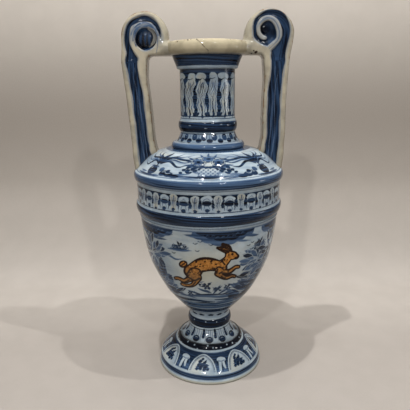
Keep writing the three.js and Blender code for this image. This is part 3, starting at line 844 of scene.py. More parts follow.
def paint_spray(wall, turn, base, side):
    """Long snaking leaves that spring from one stem and sweep towards the front, over a round
    fruit and a leafy bank."""
    x, y = wall.chart(turn, base, use="length")
    x = x * -side / SPRAY_WIDENING[0]
    y = y / SPRAY_WIDENING[1]
    for start, tip, width, sway in (
        ((1.5, 17), (29, 36), 1.9, 0.08), ((-1, 17), (-17, 34), 1.9, -0.08),
        ((1.5, 16), (36, 24.6), 1.9, 0.10), ((-2, 16), (-26, 22), 1.8, -0.12),
    ):
        wall.paint("blue", frond(x, y, start, tip, width, sway))
    for start, tip, width, sway in (
        ((0, 17), (3, 34.5), 4.8, 0.05), ((1, 17), (16, 34.5), 2.4, 0.10),
        ((1.5, 16.4), (36, 31), 3.1, 0.12), ((1.5, 15.4), (31, 17), 2.5, 0.12),
        ((-1, 17), (-9, 33.5), 2.4, -0.10), ((-1.6, 16.6), (-23, 28), 2.8, -0.13),
        ((-2, 15.2), (-26, 14.8), 2.4, -0.16),
    ):
        wall.paint("navy", frond(x, y, start, tip, width, sway))
    wall.clear(spot(x, y, -4.5, 7.2, 6.8, 5.9, 20))
    wall.paint("navy", spot(x, y, -4.5, 7.2, 6.2, 5.3, 20))
    wall.paint("navy", stroke(x, y, [(-3, 12), (-1.4, 14.5), (-0.6, 18)], [1.2, 1.4, 1.8]))
    for tip in ((-9.5, 12.2), (2.6, 11.4)):
        wall.paint("blue", leaf(x, y, (-3, 12.8), tip, 2, 0.15))
    wall.lift("navy", stroke(x, y, [(-7.8, 9.4), (-6, 10.6)], 0.7))
    for cx, cy, size in (
        (32, 14, 2.1), (35.4, 16.6, 1.9), (37.2, 12.6, 2.4), (33.2, 10.2, 2.3), (40.2, 15.2, 1.7),
        (29.6, 11, 1.7), (39.8, 10.2, 1.9), (36, 20.2, 1.5), (36.6, 8.2, 1.6), (42.4, 12.4, 1.5),
    ):
        wall.paint("navy", spot(x, y, cx, cy, size, size * 0.85, 40))
    for tip in ((41, 19.4), (28.6, 17), (42.6, 7.4), (31.5, 20.5)):
        wall.paint("blue", leaf(x, y, (35.5, 13), tip, 2.2, 0.1))
    for cx, cy, a, b, tilt in ((11.5, 5.4, 4.6, 3.4, 12), (17.5, 4.6, 4.8, 3, -4),
                               (23.5, 3.2, 5.6, 2.1, -6), (14.5, 7.6, 3.2, 2, 30)):
        wall.paint("navy", spot(x, y, cx, cy, a, b, tilt))
    wall.lift("navy", stroke(x, y, [(9.5, 6.6), (12.4, 7.6), (14.6, 5.4), (18.6, 6.2)], 0.6))
    wall.paint("blue", spot(x, y, 7.4, 9.4, 3, 2.4, 25))
    for start, tip, width in (
        ((10, 3.6), (38, 3.2), 2.6), ((22, 5), (37, 6.4), 2), ((-8, 1.8), (-27, 1.8), 2.2),
        ((8, 2.2), (-2, 1.8), 2.2), ((28, 2), (44, 1.4), 1.6), ((-11, 4.2), (-24, 4.6), 2),
    ):
        wall.paint("blue", leaf(x, y, start, tip, width, 0.05))
    wall.paint("navy", leaf(x, y, (8, 1.6), (-22, 1.2), 2.2, 0.03))


def paint_basket(wall, turn, base):
    """A latticed basket with three flowers and drooping leaves, on a strip of ground."""
    x, y = wall.chart(turn, base, use="length")
    x = x / BASKET_WIDENING
    wall.draw(
        x, y,
        ("blue", [(-24, 4), (-10, 3), (4, 3.4), (22, 4.2)], [1.2, 2.8, 3.2, 1.4]),
        ("navy", [(-17, 3.4), (0, 2.4), (16, 3.6)], [0.8, 1.9, 0.6]),
    )
    basket = polygon(x, y, [(-8.5, 4.5), (-12, 15.5), (12, 15.5), (8.5, 4.5)])
    wall.paint("blue", basket)
    for offset in (-12, -8, -4, 0, 4, 8, 12):
        for way in (-1, 1):
            thread = stroke(x, y, [(offset - 5 * way, 5), (offset + 5 * way, 15)], 1.1)
            wall.lift("blue", np.maximum(thread, basket + 1))
    wall.draw(
        x, y,
        ("navy", [(-13.2, 16.2), (0, 15.2), (13.2, 16.2)], [1.8, 2.6, 1.8]),
        ("navy", [(-9, 4.6), (0, 4), (9, 4.6)], [1.2, 1.6, 1.2]),
    )
    for start, tip, width in (
        ((-4, 17), (-23, 17), 3.4), ((4, 17), (23, 17), 3.4), ((-3, 18), (-19, 29.5), 3.2),
        ((4, 18), (19, 29), 3.2), ((-2, 20), (-7, 36), 2.8), ((3, 20), (8, 36), 2.8),
        ((0, 26), (0.5, 39), 2.4), ((-6, 20), (-22, 23.5), 2.8), ((6, 20), (22, 23.5), 2.8),
    ):
        way = 0.12 * (1 if tip[0] > 0 else -1)
        wall.paint("blue", leaf(x, y, start, tip, width, way))
        wall.paint("navy", leaf(x, y, start, partway(start, tip, 0.8), width * 0.45, way))
    for cx, cy, size in ((-8.6, 22, 5), (0.4, 26.5, 5.4), (9.2, 21.6, 4.8)):
        wall.clear(spot(x, y, cx, cy, size + 1, size * 0.9 + 1))
        for petal in range(6):
            way = petal * math.pi / 3 + cx
            px, py = around((cx, cy), way, 0.66 * size, 0.6 * size)
            wall.paint("blue", spot(x, y, px, py, 0.44 * size, 0.36 * size, math.degrees(way)))
        wall.paint("navy", spot(x, y, cx, cy, size * 0.36, size * 0.34))
        wall.paint("navy", np.abs(spot(x, y, cx, cy, size, size * 0.9)) - 0.35)
    for cx, cy in ((-22, 11.4), (-18.4, 8.6), (-25, 8), (21.5, 11.8), (18, 8.4), (25, 8.6)):
        wall.paint("navy", spot(x, y, cx, cy, 1.9, 1.5))
    wall.deepen("warm", 0.4 * unit(1.1 - np.hypot(x / 26, (y - 22) / 16)))


def paint_collar(wall):
    """A blue moulding with white lines, under two rows of dark ovals on white."""
    wall["wash"] += 0.8
    wall.band("blue", 258.9, 265.4, seed=81)
    wall.band("navy", 259.4, 260.6, wobble=0.5, seed=85)
    copies = 18
    x, y = wall.chart(math.radians(-7), level_of(wall, 272), copies, "length", 0.35, seed=82)
    wall.paint("navy", spot(x, y, 0, 0, 3, 3.7))
    wall.lift("navy", stroke(x, y, [(-0.6, 1.4), (0.5, 1.6)], 0.5))
    x, y = wall.chart(math.radians(3), level_of(wall, 268.7), copies, "length", 0.35, seed=83)
    wall.paint("navy", spot(x, y, 0, 0, 3.3, 2.6))
    wall.paint("blue", stroke(x, y, [(0, 1.5), (0, 3.4), (0.2, 6.2)], [1.6, 1.1, 0.6]))
    wall.band("navy", 275, 275.7, wobble=0.1, seed=84)
    # Painted shade in the crease at the moulding's top.
    wall["shade_grime_and_thick_pigment"] = 0.3 * wall.near(266.4, 1.2)


def paint_neck(wall):
    """A dark moulding and fine lines, under tall pale leaves on a dark ground: seven with a round
    tip, and seven with a wide curled one."""
    wall["wash"] += 0.45 + 0.35 * wall.waves(90, 2)
    wall.band("navy", 277, 287.8, seed=91)
    # Painted highlights: short pale dashes left bare along the dark moulding.
    x, y = wall.chart(0.5, 283, 11, jitter=2.5, seed=9)
    wall.lift("navy", spot(x, y, 0, 0, 1.5, 0.3))
    wall.band("navy", 290.4, 291.3, wobble=0.06, seed=92)
    wall.band("navy", 292.7, 341, wobble=0.1, seed=93)
    copies = 7
    first = math.radians(12)
    second = first - math.pi / copies
    plain = [(5, 294), (5.2, 299), (4.6, 305), (4.2, 311), (4.9, 317), (5.3, 322), (4.6, 327),
             (3.9, 329.8), (4.5, 332), (4.5, 334.8), (2.2, 336.8)]
    curled = [(5.6, 294), (5.3, 299), (4.3, 304), (4, 309), (4.7, 315), (5.6, 321), (5.2, 326),
              (3.4, 329.6), (5.9, 331.8), (5.8, 334.4), (3, 336.8)]
    for turn, half, tip in ((first, plain, 3.3), (second, curled, 5)):
        x, y = wall.chart(turn, 0, copies, jitter=0.5, seed=94 + int(tip))
        sway = 0.7 * np.sin((y - 294) / 5.2 + tip) + 0.6 * np.sin((y - 290) / 11 + 2 * tip)
        sway = sway + 2.2 * wall.waves(96, 1.5) + 0.9 * wall.waves(97, 4)
        x = x + sway
        shape = polygon(x, y, spline(symmetric(half), 2))
        wall.lift("navy", shape)
        wall.deepen("warm", unit(-shape / 1.5) * np.clip(0.35 + 0.55 * wall.waves(95, 2), 0, 0.9))
        wall.paint("navy",
                   stroke(x, y, [(0.2, 313), (-0.4, 306), (0.3, 299), (0, 293)],
                          [0.5, 1.2, 1.7, 2.4]))
        for flip in (x, -x):
            wall.draw(
                flip, y,
                ("navy", [(2.2, 329), (1.6, 323), (2.6, 318), (1, 313)], [0.4, 1, 0.7, 0.4]),
                ("blue", [(2.6, 312), (3.2, 305), (2.8, 297)], [0.5, 1.1, 0.6]),
                ("blue", [(3.8, 325), (4, 319), (3.2, 314)], [0.4, 0.8, 0.4]),
            )
            wall.paint("navy", spot(flip, y, 4.6, 295.6, 1.3, 2.2))
        if tip > 4:
            smile = [(-4.8, 331), (-3, 330), (-0.8, 331.4), (1.6, 331.6), (3.4, 330.2)]
            wall.draw(
                x, y,
                ("navy", smile, [0.9, 1.7, 0.5, 0.6, 1.3]),
                ("navy", [(0.4, 327), (-0.3, 320), (0.3, 315)], [1.3, 0.9, 0.5]),
            )
        else:
            wall.draw(
                x, y,
                ("navy", [(-3.4, 331), (-1.6, 330.6), (1.8, 332)], [1.3, 0.8, 0.4]),
                ("blue", [(-0.6, 327), (0.6, 321), (-0.4, 315)], [0.9, 1, 0.5]),
            )
    wall.bare(288, 290.3, wobble=0.08)
    # Painted shade under the capital and in the crease above the moulding.
    near_top = unit((wall.height - 337) / 3)
    wall["shade_grime_and_thick_pigment"] = 0.3 * near_top + 0.35 * wall.near(288, 1.2)


def paint_capital(wall):
    """A dark band over a white line."""
    wall.band("navy", 344, 355, seed=101)
    wall.band("blue", 346.4, 347.2, wobble=0.3, seed=102)
    wall["wash"] += 0.75


def paint_rim(wall):
    """Bare cream glaze with a hairline crack, small chips and a shaded underside."""
    wall["wash"] = unit((356.2 - wall.height) / 1.6) * 0.8
    x, y = wall.chart()
    crack = [(-10.4, 368), (-6.4, 364.6), (-3.4, 361.4), (-0.8, 358.8), (0.9, 357.4), (1.2, 354.6)]
    wall.paint("brown", stroke(x, y, crack, [0.9, 0.6, 0.8, 0.4, 0.7, 0.4]))
    for cx, cy, a in ((-19.5, 367.6, 1.2), (-16, 368.2, 0.8), (-32, 366.8, 1.1), (24, 368.2, 0.6),
                      (41, 367.4, 0.9)):
        wall.paint("brown", spot(x, y, cx, cy, a, a * 0.5, 10 * cx))
    joints = unit(1.5 * np.abs(np.sin(wall.angle)) - 0.75)
    wall["wear"] = joints * 0.3 + 0.3 * unit((wall.height - 365) / 3)
    # Painted shade on the underside below 360 mm, and patches of grime.
    wall["shade_grime_and_thick_pigment"] = 0.30 * unit((360 - wall.height) / 5) + 0.22 * unit(wall.waves(103, 2))
    wall["warm"] += 0.25


def dab_cluster(wall, x, y, centre, spread, count, size, seed, aim=None):
    """Foliage: short leaves that point away from the cluster's middle, or all one way. Each is
    laid over those before it, and two in five are dark."""
    rng = np.random.default_rng(seed)
    for number in range(count):
        way = math.radians(rng.uniform(0, 360))
        reach = math.sqrt(rng.uniform(0.02, 1))
        start = around(centre, way, spread[0] * reach, spread[1] * reach)
        turned = way if aim is None else math.radians(aim)
        turned += math.radians(rng.uniform(-38, 38))
        length = size * rng.uniform(1.7, 3)
        tip = around(start, turned, length, length * 0.8)
        layer = "navy" if number % 5 in (1, 3) else "blue"
        shape = leaf(x, y, start, tip, size * rng.uniform(0.7, 1), rng.uniform(-0.2, 0.2))
        wall.clear(shape - 0.55)
        wall.paint(layer, shape)


def floret(wall, x, y, cx, cy, size, seed):
    """A cluster of round dots with a few small leaves."""
    rng = np.random.default_rng(seed)
    for number in range(6):
        way = number * 1.05 + rng.uniform(-0.2, 0.2)
        gap = size * (1.15 if number else 0)
        px, py = around((cx, cy), way, gap, 0.8 * gap)
        a, b = size * rng.uniform(0.4, 0.62), size * rng.uniform(0.36, 0.5)
        wall.paint("navy", spot(x, y, px, py, a, b, 60 * way))
    for number in range(4):
        way = number * 1.6 + rng.uniform(0, 1)
        tip = around((cx, cy), way, 2.4 * size, 1.9 * size)
        wall.paint("blue", leaf(x, y, (cx, cy), tip, size * 0.5, 0.15))


def paint_hare(wall, x, y, scale):
    """A leaping speckled hare in ochre with a brown outline."""
    back = [(-15, 139), (-3, 147), (10, 147.5), (20, 143)]
    shape = nearest(
        stroke(x, y, back, [15, 18, 15.5, 12.5]),
        spot(x, y, -13.5, 138, 11, 9.5, 20),
        stroke(x, y, [(18, 145), (25, 151.5), (29, 156.5)], [13, 9.5, 8]),
        spot(x, y, 32, 158.2, 7.4, 5.3, -14),
        spot(x, y, 37.2, 156.2, 3.8, 3.1, -20),
        stroke(x, y, [(29.5, 161), (23.5, 166.5), (15.5, 169.5)], [3.2, 5.6, 1.6]),
        stroke(x, y, [(31, 162), (27.5, 168.5), (21.5, 173.5)], [3.2, 5.2, 1.6]),
        stroke(x, y, [(19, 138), (29, 136.5), (37.5, 141.5), (41.5, 141)], [8.5, 5.6, 4.2, 3.8]),
        stroke(x, y, [(16, 135), (25.5, 128), (33, 129.5), (37, 128)], [7.5, 5.2, 4, 3.6]),
        spot(x, y, -12.5, 131, 9.5, 7.6, -38),
        stroke(x, y, [(-17, 127), (-25, 121.5), (-32.5, 124), (-37.5, 123)], [8, 5.8, 4.6, 4]),
        stroke(x, y, [(-9, 126), (-14.5, 117), (-23, 114.5), (-28.5, 115.5)], [7.5, 5.2, 4.6, 4]),
        spot(x, y, -25.5, 146.5, 5.2, 3.7, 35),
    )
    wall.clear(scale * shape - 1)
    wall.paint("ochre", scale * shape)
    swell = 0.45 * np.sin(x / 7.3 + 1) * np.cos(y / 6.1)
    wall.paint("brown", scale * (np.abs(shape) - 1.15 - np.clip(swell, -0.2, 0.6)))
    for knots, width in (
        ([(-21, 133), (-15, 142), (-5.5, 140.5), (-4, 132)], 1.6),
        ([(12, 140), (17, 144.5), (22, 141)], 1.5),
        ([(28.5, 162.5), (24, 165.8), (19, 167.6)], 1.5),
        ([(30.4, 164), (27.6, 168), (24, 170.8)], 1.4),
        ([(36.4, 154.9), (38.6, 155.2), (40.4, 156.4)], 1),
        ([(24, 147), (21, 152), (22, 155)], 1.6), ([(-2, 138.6), (6, 138.4), (14, 136.6)], 2.6),
        ([(-12, 153), (2, 156.4), (14, 154.2)], 2.4),
        ([(-28, 144), (-25, 146.6), (-22.6, 149.6)], 1.2),
        ([(-20, 128.5), (-12, 124.5), (-6, 128)], 2),
        ([(22, 135.5), (30, 134.4), (37, 139.4)], 1.4),
        ([(20, 131), (26, 125.8), (34, 127.6)], 1.5), ([(-19, 124), (-26, 119.6), (-33, 122)], 1.5),
        ([(-11, 122), (-16, 115), (-24, 112.9)], 1.5),
    ):
        wall.paint("brown", scale * np.maximum(stroke(x, y, knots, 1.35 * width), shape + 0.1))
    wall.paint("brown", scale * spot(x, y, 33.2, 159.6, 1.7, 1.4))
    rng = np.random.default_rng(17)
    for _ in range(105):
        cx, cy = rng.uniform(-24, 31), rng.uniform(122, 160)
        fleck = spot(x, y, cx, cy, rng.uniform(1, 1.8), rng.uniform(0.7, 1.2), rng.uniform(0, 90))
        wall.paint("brown", scale * np.maximum(fleck, shape + 1.4))
    # Thinner pigment along the back and thicker towards the belly.
    wall.deepen("shade_grime_and_thick_pigment", 0.55 * unit((146 - y) / 14) * unit(-shape / 2.5))
    return scale * shape


def paint_sky(wall, x, y):
    """Clouds that hang from the top line, with streaks, two floating islands and far hills."""
    for puffs in (
        ((-7, 184, 8, 5), (2, 182, 9, 7), (12, 180.5, 11, 8.5), (23, 181, 10, 8.5), (33, 183, 9, 7),
         (42, 185, 9, 6)),
        ((-86, 183, 10, 8), (-75, 180, 10, 9.5), (-64, 181, 9, 8), (-54, 183, 9, 7),
         (-45, 185, 8, 5)),
        ((72, 184, 9, 6), (82, 182, 10, 8), (93, 183, 9, 7)),
    ):
        paint_cloud(wall, x, y, puffs, (1.8, 3))
        for cx, cy, _, _ in puffs[1:-1]:
            for px in (cx - 3.2, cx + 2.4):
                curl = [(px - 2, cy - 3), (px, cy - 1.6), (px + 2.2, cy - 2.6)]
                wall.lift("navy", stroke(x, y, curl, [0.5, 1.3, 0.5]))
    wall.fan("blue", x, y, (
        ((8, 177), (-27, 180.5), 4.2), ((34, 178), (58, 174), 3.4), ((-58, 176), (-38, 178.5), 3),
        ((24, 173), (46, 170.5), 2.2), ((-66, 170), (-45, 172), 2.2),
    ), 0.05)
    for cx, cy, wide in ((-31, 165.5, 14), (60, 164, 12)):
        wall.paint("blue", leaf(x, y, (cx - wide, cy - 3.4), (cx + wide, cy - 2.6), 3.4, 0.02))
        wall.paint("navy",
                   leaf(x, y, (cx - wide * 0.8, cy - 2.4), (cx + wide * 0.6, cy - 1.6), 2, 0.02))
        for number, (dx, dy, size) in enumerate(((0, 1.8, 3.2), (-6, 0.2, 2), (6.4, 0.4, 1.9))):
            floret(wall, x, y, cx + dx, cy + dy, size, int(cx) + 90 + number)
    wall.draw(
        x, y,
        ("blue", [(-56, 150), (-46, 154), (-36, 151), (-28, 152.5)], [0.8, 2.6, 2.2, 0.8]),
        ("blue", [(40, 150.5), (52, 154), (62, 151)], [0.8, 2.2, 0.6]),
    )


def paint_slope(wall, x, y):
    """A tree with four heads of leaves, on a bank of long grass."""
    wall.draw(
        x, y,
        ("navy", [(46, 97), (51, 111), (57, 126), (60, 140)], [6.5, 5, 3.8, 2.6]),
        ("navy", [(54, 118), (63, 128), (72, 135)], [3.2, 2.8, 1.8]),
    )
    dab_cluster(wall, x, y, (57, 146), (14, 10), 34, 6.2, 201)
    dab_cluster(wall, x, y, (68, 131), (14, 10), 32, 6.4, 202, 200)
    dab_cluster(wall, x, y, (82, 154), (12, 10), 26, 5.6, 203)
    dab_cluster(wall, x, y, (48, 123), (11, 9), 28, 6, 206, 195)
    rng = np.random.default_rng(204)
    for number in range(52):
        root = (rng.uniform(26, 66), rng.uniform(92, 116))
        way = math.radians(rng.uniform(125, 172))
        length = rng.uniform(10, 20)
        tip = around(root, way, length, 0.7 * length)
        wall.paint("navy" if number % 2 else "blue",
                   leaf(x, y, root, tip, rng.uniform(2.8, 4.4), 0.12))


def paint_slim_trees(wall, x, y):
    """Three slim trees in tiers of short strokes, a bush and a hummock."""
    for cx, cy, a, b in ((-55, 129, 5.4, 15), (-66, 122, 4.8, 12), (-45, 119, 4, 10)):
        wall.paint("blue", spot(x, y, cx - 1.4, cy - 0.5, a + 1.6, b + 1, 4))
        for step in range(7):
            level = cy - b + (step + 0.6) * 2 * b / 7.4
            wide = a * math.sqrt(max(0.05, 1 - ((level - cy) / b) ** 2))
            wall.paint("navy",
                       leaf(x, y, (cx - wide, level - 1.2), (cx + wide, level + 1.4), 2.9, 0.1))
        wall.paint("navy", stroke(x, y, [(cx, cy - b - 7), (cx, cy - b + 3)], 1.9))
    dab_cluster(wall, x, y, (-72, 150), (15, 12), 40, 6.2, 205)
    wall.paint("navy", stroke(x, y, [(-76, 108), (-78, 124), (-77, 138)], [4.8, 3.6, 2.4]))
    dab_cluster(wall, x, y, (-56, 108), (20, 8), 44, 6, 207, 35)


def paint_ground(wall, x, y):
    """Long wavy strokes, tufts and florets where the hare leaps, and birds over them."""
    wall.draw(
        x, y,
        ("blue", [(-78, 108), (-58, 103), (-36, 104.5), (-14, 100.5)], [1.8, 4.2, 3.2, 1]),
        ("blue", [(-34, 101.5), (-6, 105), (18, 102.5), (36, 104.5)], [1.2, 3.8, 3, 1]),
        ("navy", [(-24, 104), (-2, 107.4), (24, 106)], [0.8, 2.8, 0.8]),
        ("navy", [(6, 99), (28, 98), (50, 102), (74, 107)], [1.2, 4.2, 4.6, 2]),
        ("navy", [(-66, 97), (-40, 95), (-16, 97), (6, 95)], [1.8, 4.6, 3.6, 1]),
        ("blue", [(-44, 91), (-14, 89.5), (16, 92), (44, 92)], [2, 4.2, 3.2, 2]),
        ("navy", [(-30, 87.8), (4, 87.2), (38, 88)], [2, 4, 2]),
        ("blue", [(8, 94.6), (26, 95.6), (48, 95)], [0.9, 2.8, 0.9]),
        ("navy", [(-22, 92.6), (-4, 93.6), (12, 91.6)], [0.6, 1.8, 0.6]),
    )
    for number, (cx, cy, size) in enumerate(
        ((-2, 120, 3.6), (-12, 124, 3), (9, 115, 3), (20, 117, 2.8), (-20, 108, 2.6))
    ):
        floret(wall, x, y, cx, cy, size, 211 + number)
    for start, tip in (
        ((0, 110), (-13, 117)), ((2, 110), (-6, 115)), ((10, 108), (21, 115)),
        ((14, 107), (29, 111)), ((-8, 107), (-24, 112)), ((-4, 106), (-16, 108)),
        ((18, 105), (33, 107)), ((4, 108), (12, 121)),
    ):
        wall.paint("blue", leaf(x, y, start, tip, 3, 0.1))
        wall.paint("navy", leaf(x, y, start, partway(start, tip, 0.7), 1.5, 0.1))
    for cx, cy in ((-14, 171), (-9, 173.4), (43, 165), (48, 167.6), (-38, 158), (47, 160),
                   (-12, 163), (2, 170)):
        wall.paint("navy",
                   stroke(x, y, [(cx - 2, cy + 0.7), (cx, cy - 0.4), (cx + 2.1, cy + 0.6)], 1.1))


def paint_landscape(wall, turn, side):
    """Half of the belly: sky, a slope with a tree on one side, slim trees on the other, and the
    hare over the ground in the middle. side mirrors it."""
    x, y = wall.chart(turn)
    x = x * side
    half = np.abs(x) < 0.5 * math.pi * wall.radius + 6
    near = np.where(half, x, 4 * FAR)
    for part in (paint_sky, paint_slope, paint_slim_trees, paint_ground):
        part(wall, near, y)
    hare = paint_hare(wall, (near - HARE_X) / HARE_SCALE, HARE_Y + (y - HARE_Y) / HARE_SCALE,
                      HARE_SCALE)
    # Thinned blue over the slopes and under the clouds, and a warm clearing round the hare.
    rise = np.exp(-(((np.abs(x) - 62) / 26) ** 2)) * np.exp(-(((y - 128) / 36) ** 2))
    sky = unit((y - 164) / 18)
    low = unit((114 - y) / 16)
    veil = unit(0.95 * rise + 0.5 * sky + 0.85 * low)
    clearing = unit(1.15 - np.hypot((x + 4) / 46, (y - 142) / 36))
    wash, warm = wall["wash"], wall["warm"]
    wash = np.where(half, np.maximum(wash * (1 - 0.6 * clearing), veil), wash)
    wall["wash"] = wash * unit(0.5 + hare / 1.5)
    wall["warm"] = np.where(half, np.maximum(warm, 0.8 * clearing), warm)


# Handles. Everything is drawn for the right one, in millimetres across (x) and up (z); the left
# one is mirrored.

# Half a handle's thickness, how deep its channel lies and how wide the channel's sides slope, how
# far its edges are rounded, and the width of its ribs.
HALF_DEPTH = 12.0
CHANNEL_DEPTH = 2.6
CHANNEL_SLOPE = 2.6
EDGE_ROUND = 3.0
INNER_RIB = {"left": 6.6, "right": 4.8}
OUTER_RIB = 6.6
# How far each hand-made handle strays outwards from its mould: height and distance.
DRIFT = {
    "left": [(262, 0), (276, 1), (292, 2), (310, 2.4), (330, 2.2), (349, 1.5), (358, 1), (366, 0.4),
             (374, 0)],
    "right": [(262, 0), (276, 0.8), (292, 0.5), (310, -0.1), (330, -1.4), (349, -2.6), (358, -2.2),
              (366, -1.2), (378, 0)],
}
# The middle of each scroll's round outline, the point from which its face is spanned, the bridge
# to the rim, and the fillet between bridge and strap.
SCROLL_X = RIM_RADIUS + 20
SCROLL_Z = RIM_TOP + 3
SCROLL_MIDDLE = (66, 366)
BRIDGE_UNDERSIDE = RIM_SEAT + 2 * SLIP
BRIDGE_FILLET = 5.0
STRAP_TOP = BRIDGE_UNDERSIDE - BRIDGE_FILLET - 1
# The strap: how high its foot starts on the shoulder, its width, how much its foot narrows on the
# outside and spreads on the inside, and how much it widens under the scroll.
STRAP_FOOT = 11.6
STRAP_WIDTH = 24.6
FOOT_TAPER = 1.8
FOOT_SPREAD = 5.5
TOP_SPREAD = 2.6
SCROLL_RADIUS = {"left": 24.3, "right": 25.7}
# How finely a handle is cut: columns across a strap, rings on a scroll's face, and rows between
# front and back.
STRAP_COLUMNS = 44
SCROLL_RINGS = 48
SIDE_ROWS = 9


def strap_edges():
    """Height, inner and outer edge of the strap from its foot up: shares of its height, of the
    taper and of the spread at the foot, and of how far it leans out to meet the scroll."""
    foot = SHOULDER_SEAT + STRAP_FOOT
    table = np.array([
        [0, 1, 1.2, 0], [0.125, 0.06, 0.9, 0], [0.19, 0, 0.25, 0], [0.28, 0, 0, 0.02],
        [0.47, 0, 0, 0.05], [0.66, 0, 0, 0.22], [0.83, 0, 0, 0.58], [1, 0, 0, 1],
    ])
    share, taper, spread, lean = table.T
    reach = FRIEZE_RADIUS + 2.6
    outer = reach - FOOT_TAPER * taper + lean * (SCROLL_X + SCROLL_RADIUS["left"] - reach)
    width = STRAP_WIDTH - FOOT_TAPER * taper + FOOT_SPREAD * spread + TOP_SPREAD * (share == 1)
    return spline(np.c_[foot + share * (STRAP_TOP - foot), outer - width, outer], 1.2)


# Each scroll: the outline of its dark channel, the pit at the channel's end as a middle point and
# a radius, the eye in it with its rise, and the right one's inner rib.
SCROLLS = {
    "left": {
        "dark": [
            (67.6, 346), (70.4, 352.5), (75.2, 359), (78.4, 365), (79.3, 371), (79, 377.5),
            (77.2, 383), (72.6, 385.6), (67.7, 387.7), (61.8, 387.8), (57.2, 386.6), (53.4, 383.6),
            (50.4, 378.6), (48.9, 374), (47.8, 370.6), (46.6, 374), (47.4, 379.5), (49.3, 384),
            (52.7, 388.9), (57.6, 392.3), (64.7, 393.6), (70.8, 392.4), (77, 389.2), (81.4, 384),
            (83.8, 377.3), (84.9, 370.5), (84.4, 363), (82.4, 357), (83.4, 351), (83, 346),
        ],
        "pit": (62.5, 371.2, 11.2),
        "eye": (62.5, 371.4, 8.6, 3.4),
    },
    "right": {
        "dark": [
            (67.6, 346), (68.4, 353), (68, 359), (64.6, 362.6), (59.4, 364.3), (54.2, 366.8),
            (48.8, 370.9), (47, 378.7), (47.6, 385), (49.8, 390.1), (55.8, 395.2), (63.8, 398.2),
            (70, 398.2), (75.5, 396.2), (80.4, 391.6), (83.9, 383), (84.9, 373.4), (84.4, 364),
            (83.4, 355), (83, 346),
        ],
        "pit": (62.8, 375, 9.5),
        "eye": (60.4, 379.5, 4, 1.6),
        "rib": [
            (63, 346), (63.8, 354), (65.6, 360.2), (69.9, 364.4), (74, 370.4), (73.4, 378.3),
            (69.8, 386), (63.4, 390.2), (57.3, 388.8), (53, 384.1), (52.4, 379.5), (53.8, 375.2),
            (57, 371.8), (59.8, 370.8),
        ],
        "rib_widths": [8, 8, 6.6, 5.8, 5.4, 5.6, 5.6, 5.2, 4.6, 4.2, 4, 4, 4.2, 3.8],
    },
}


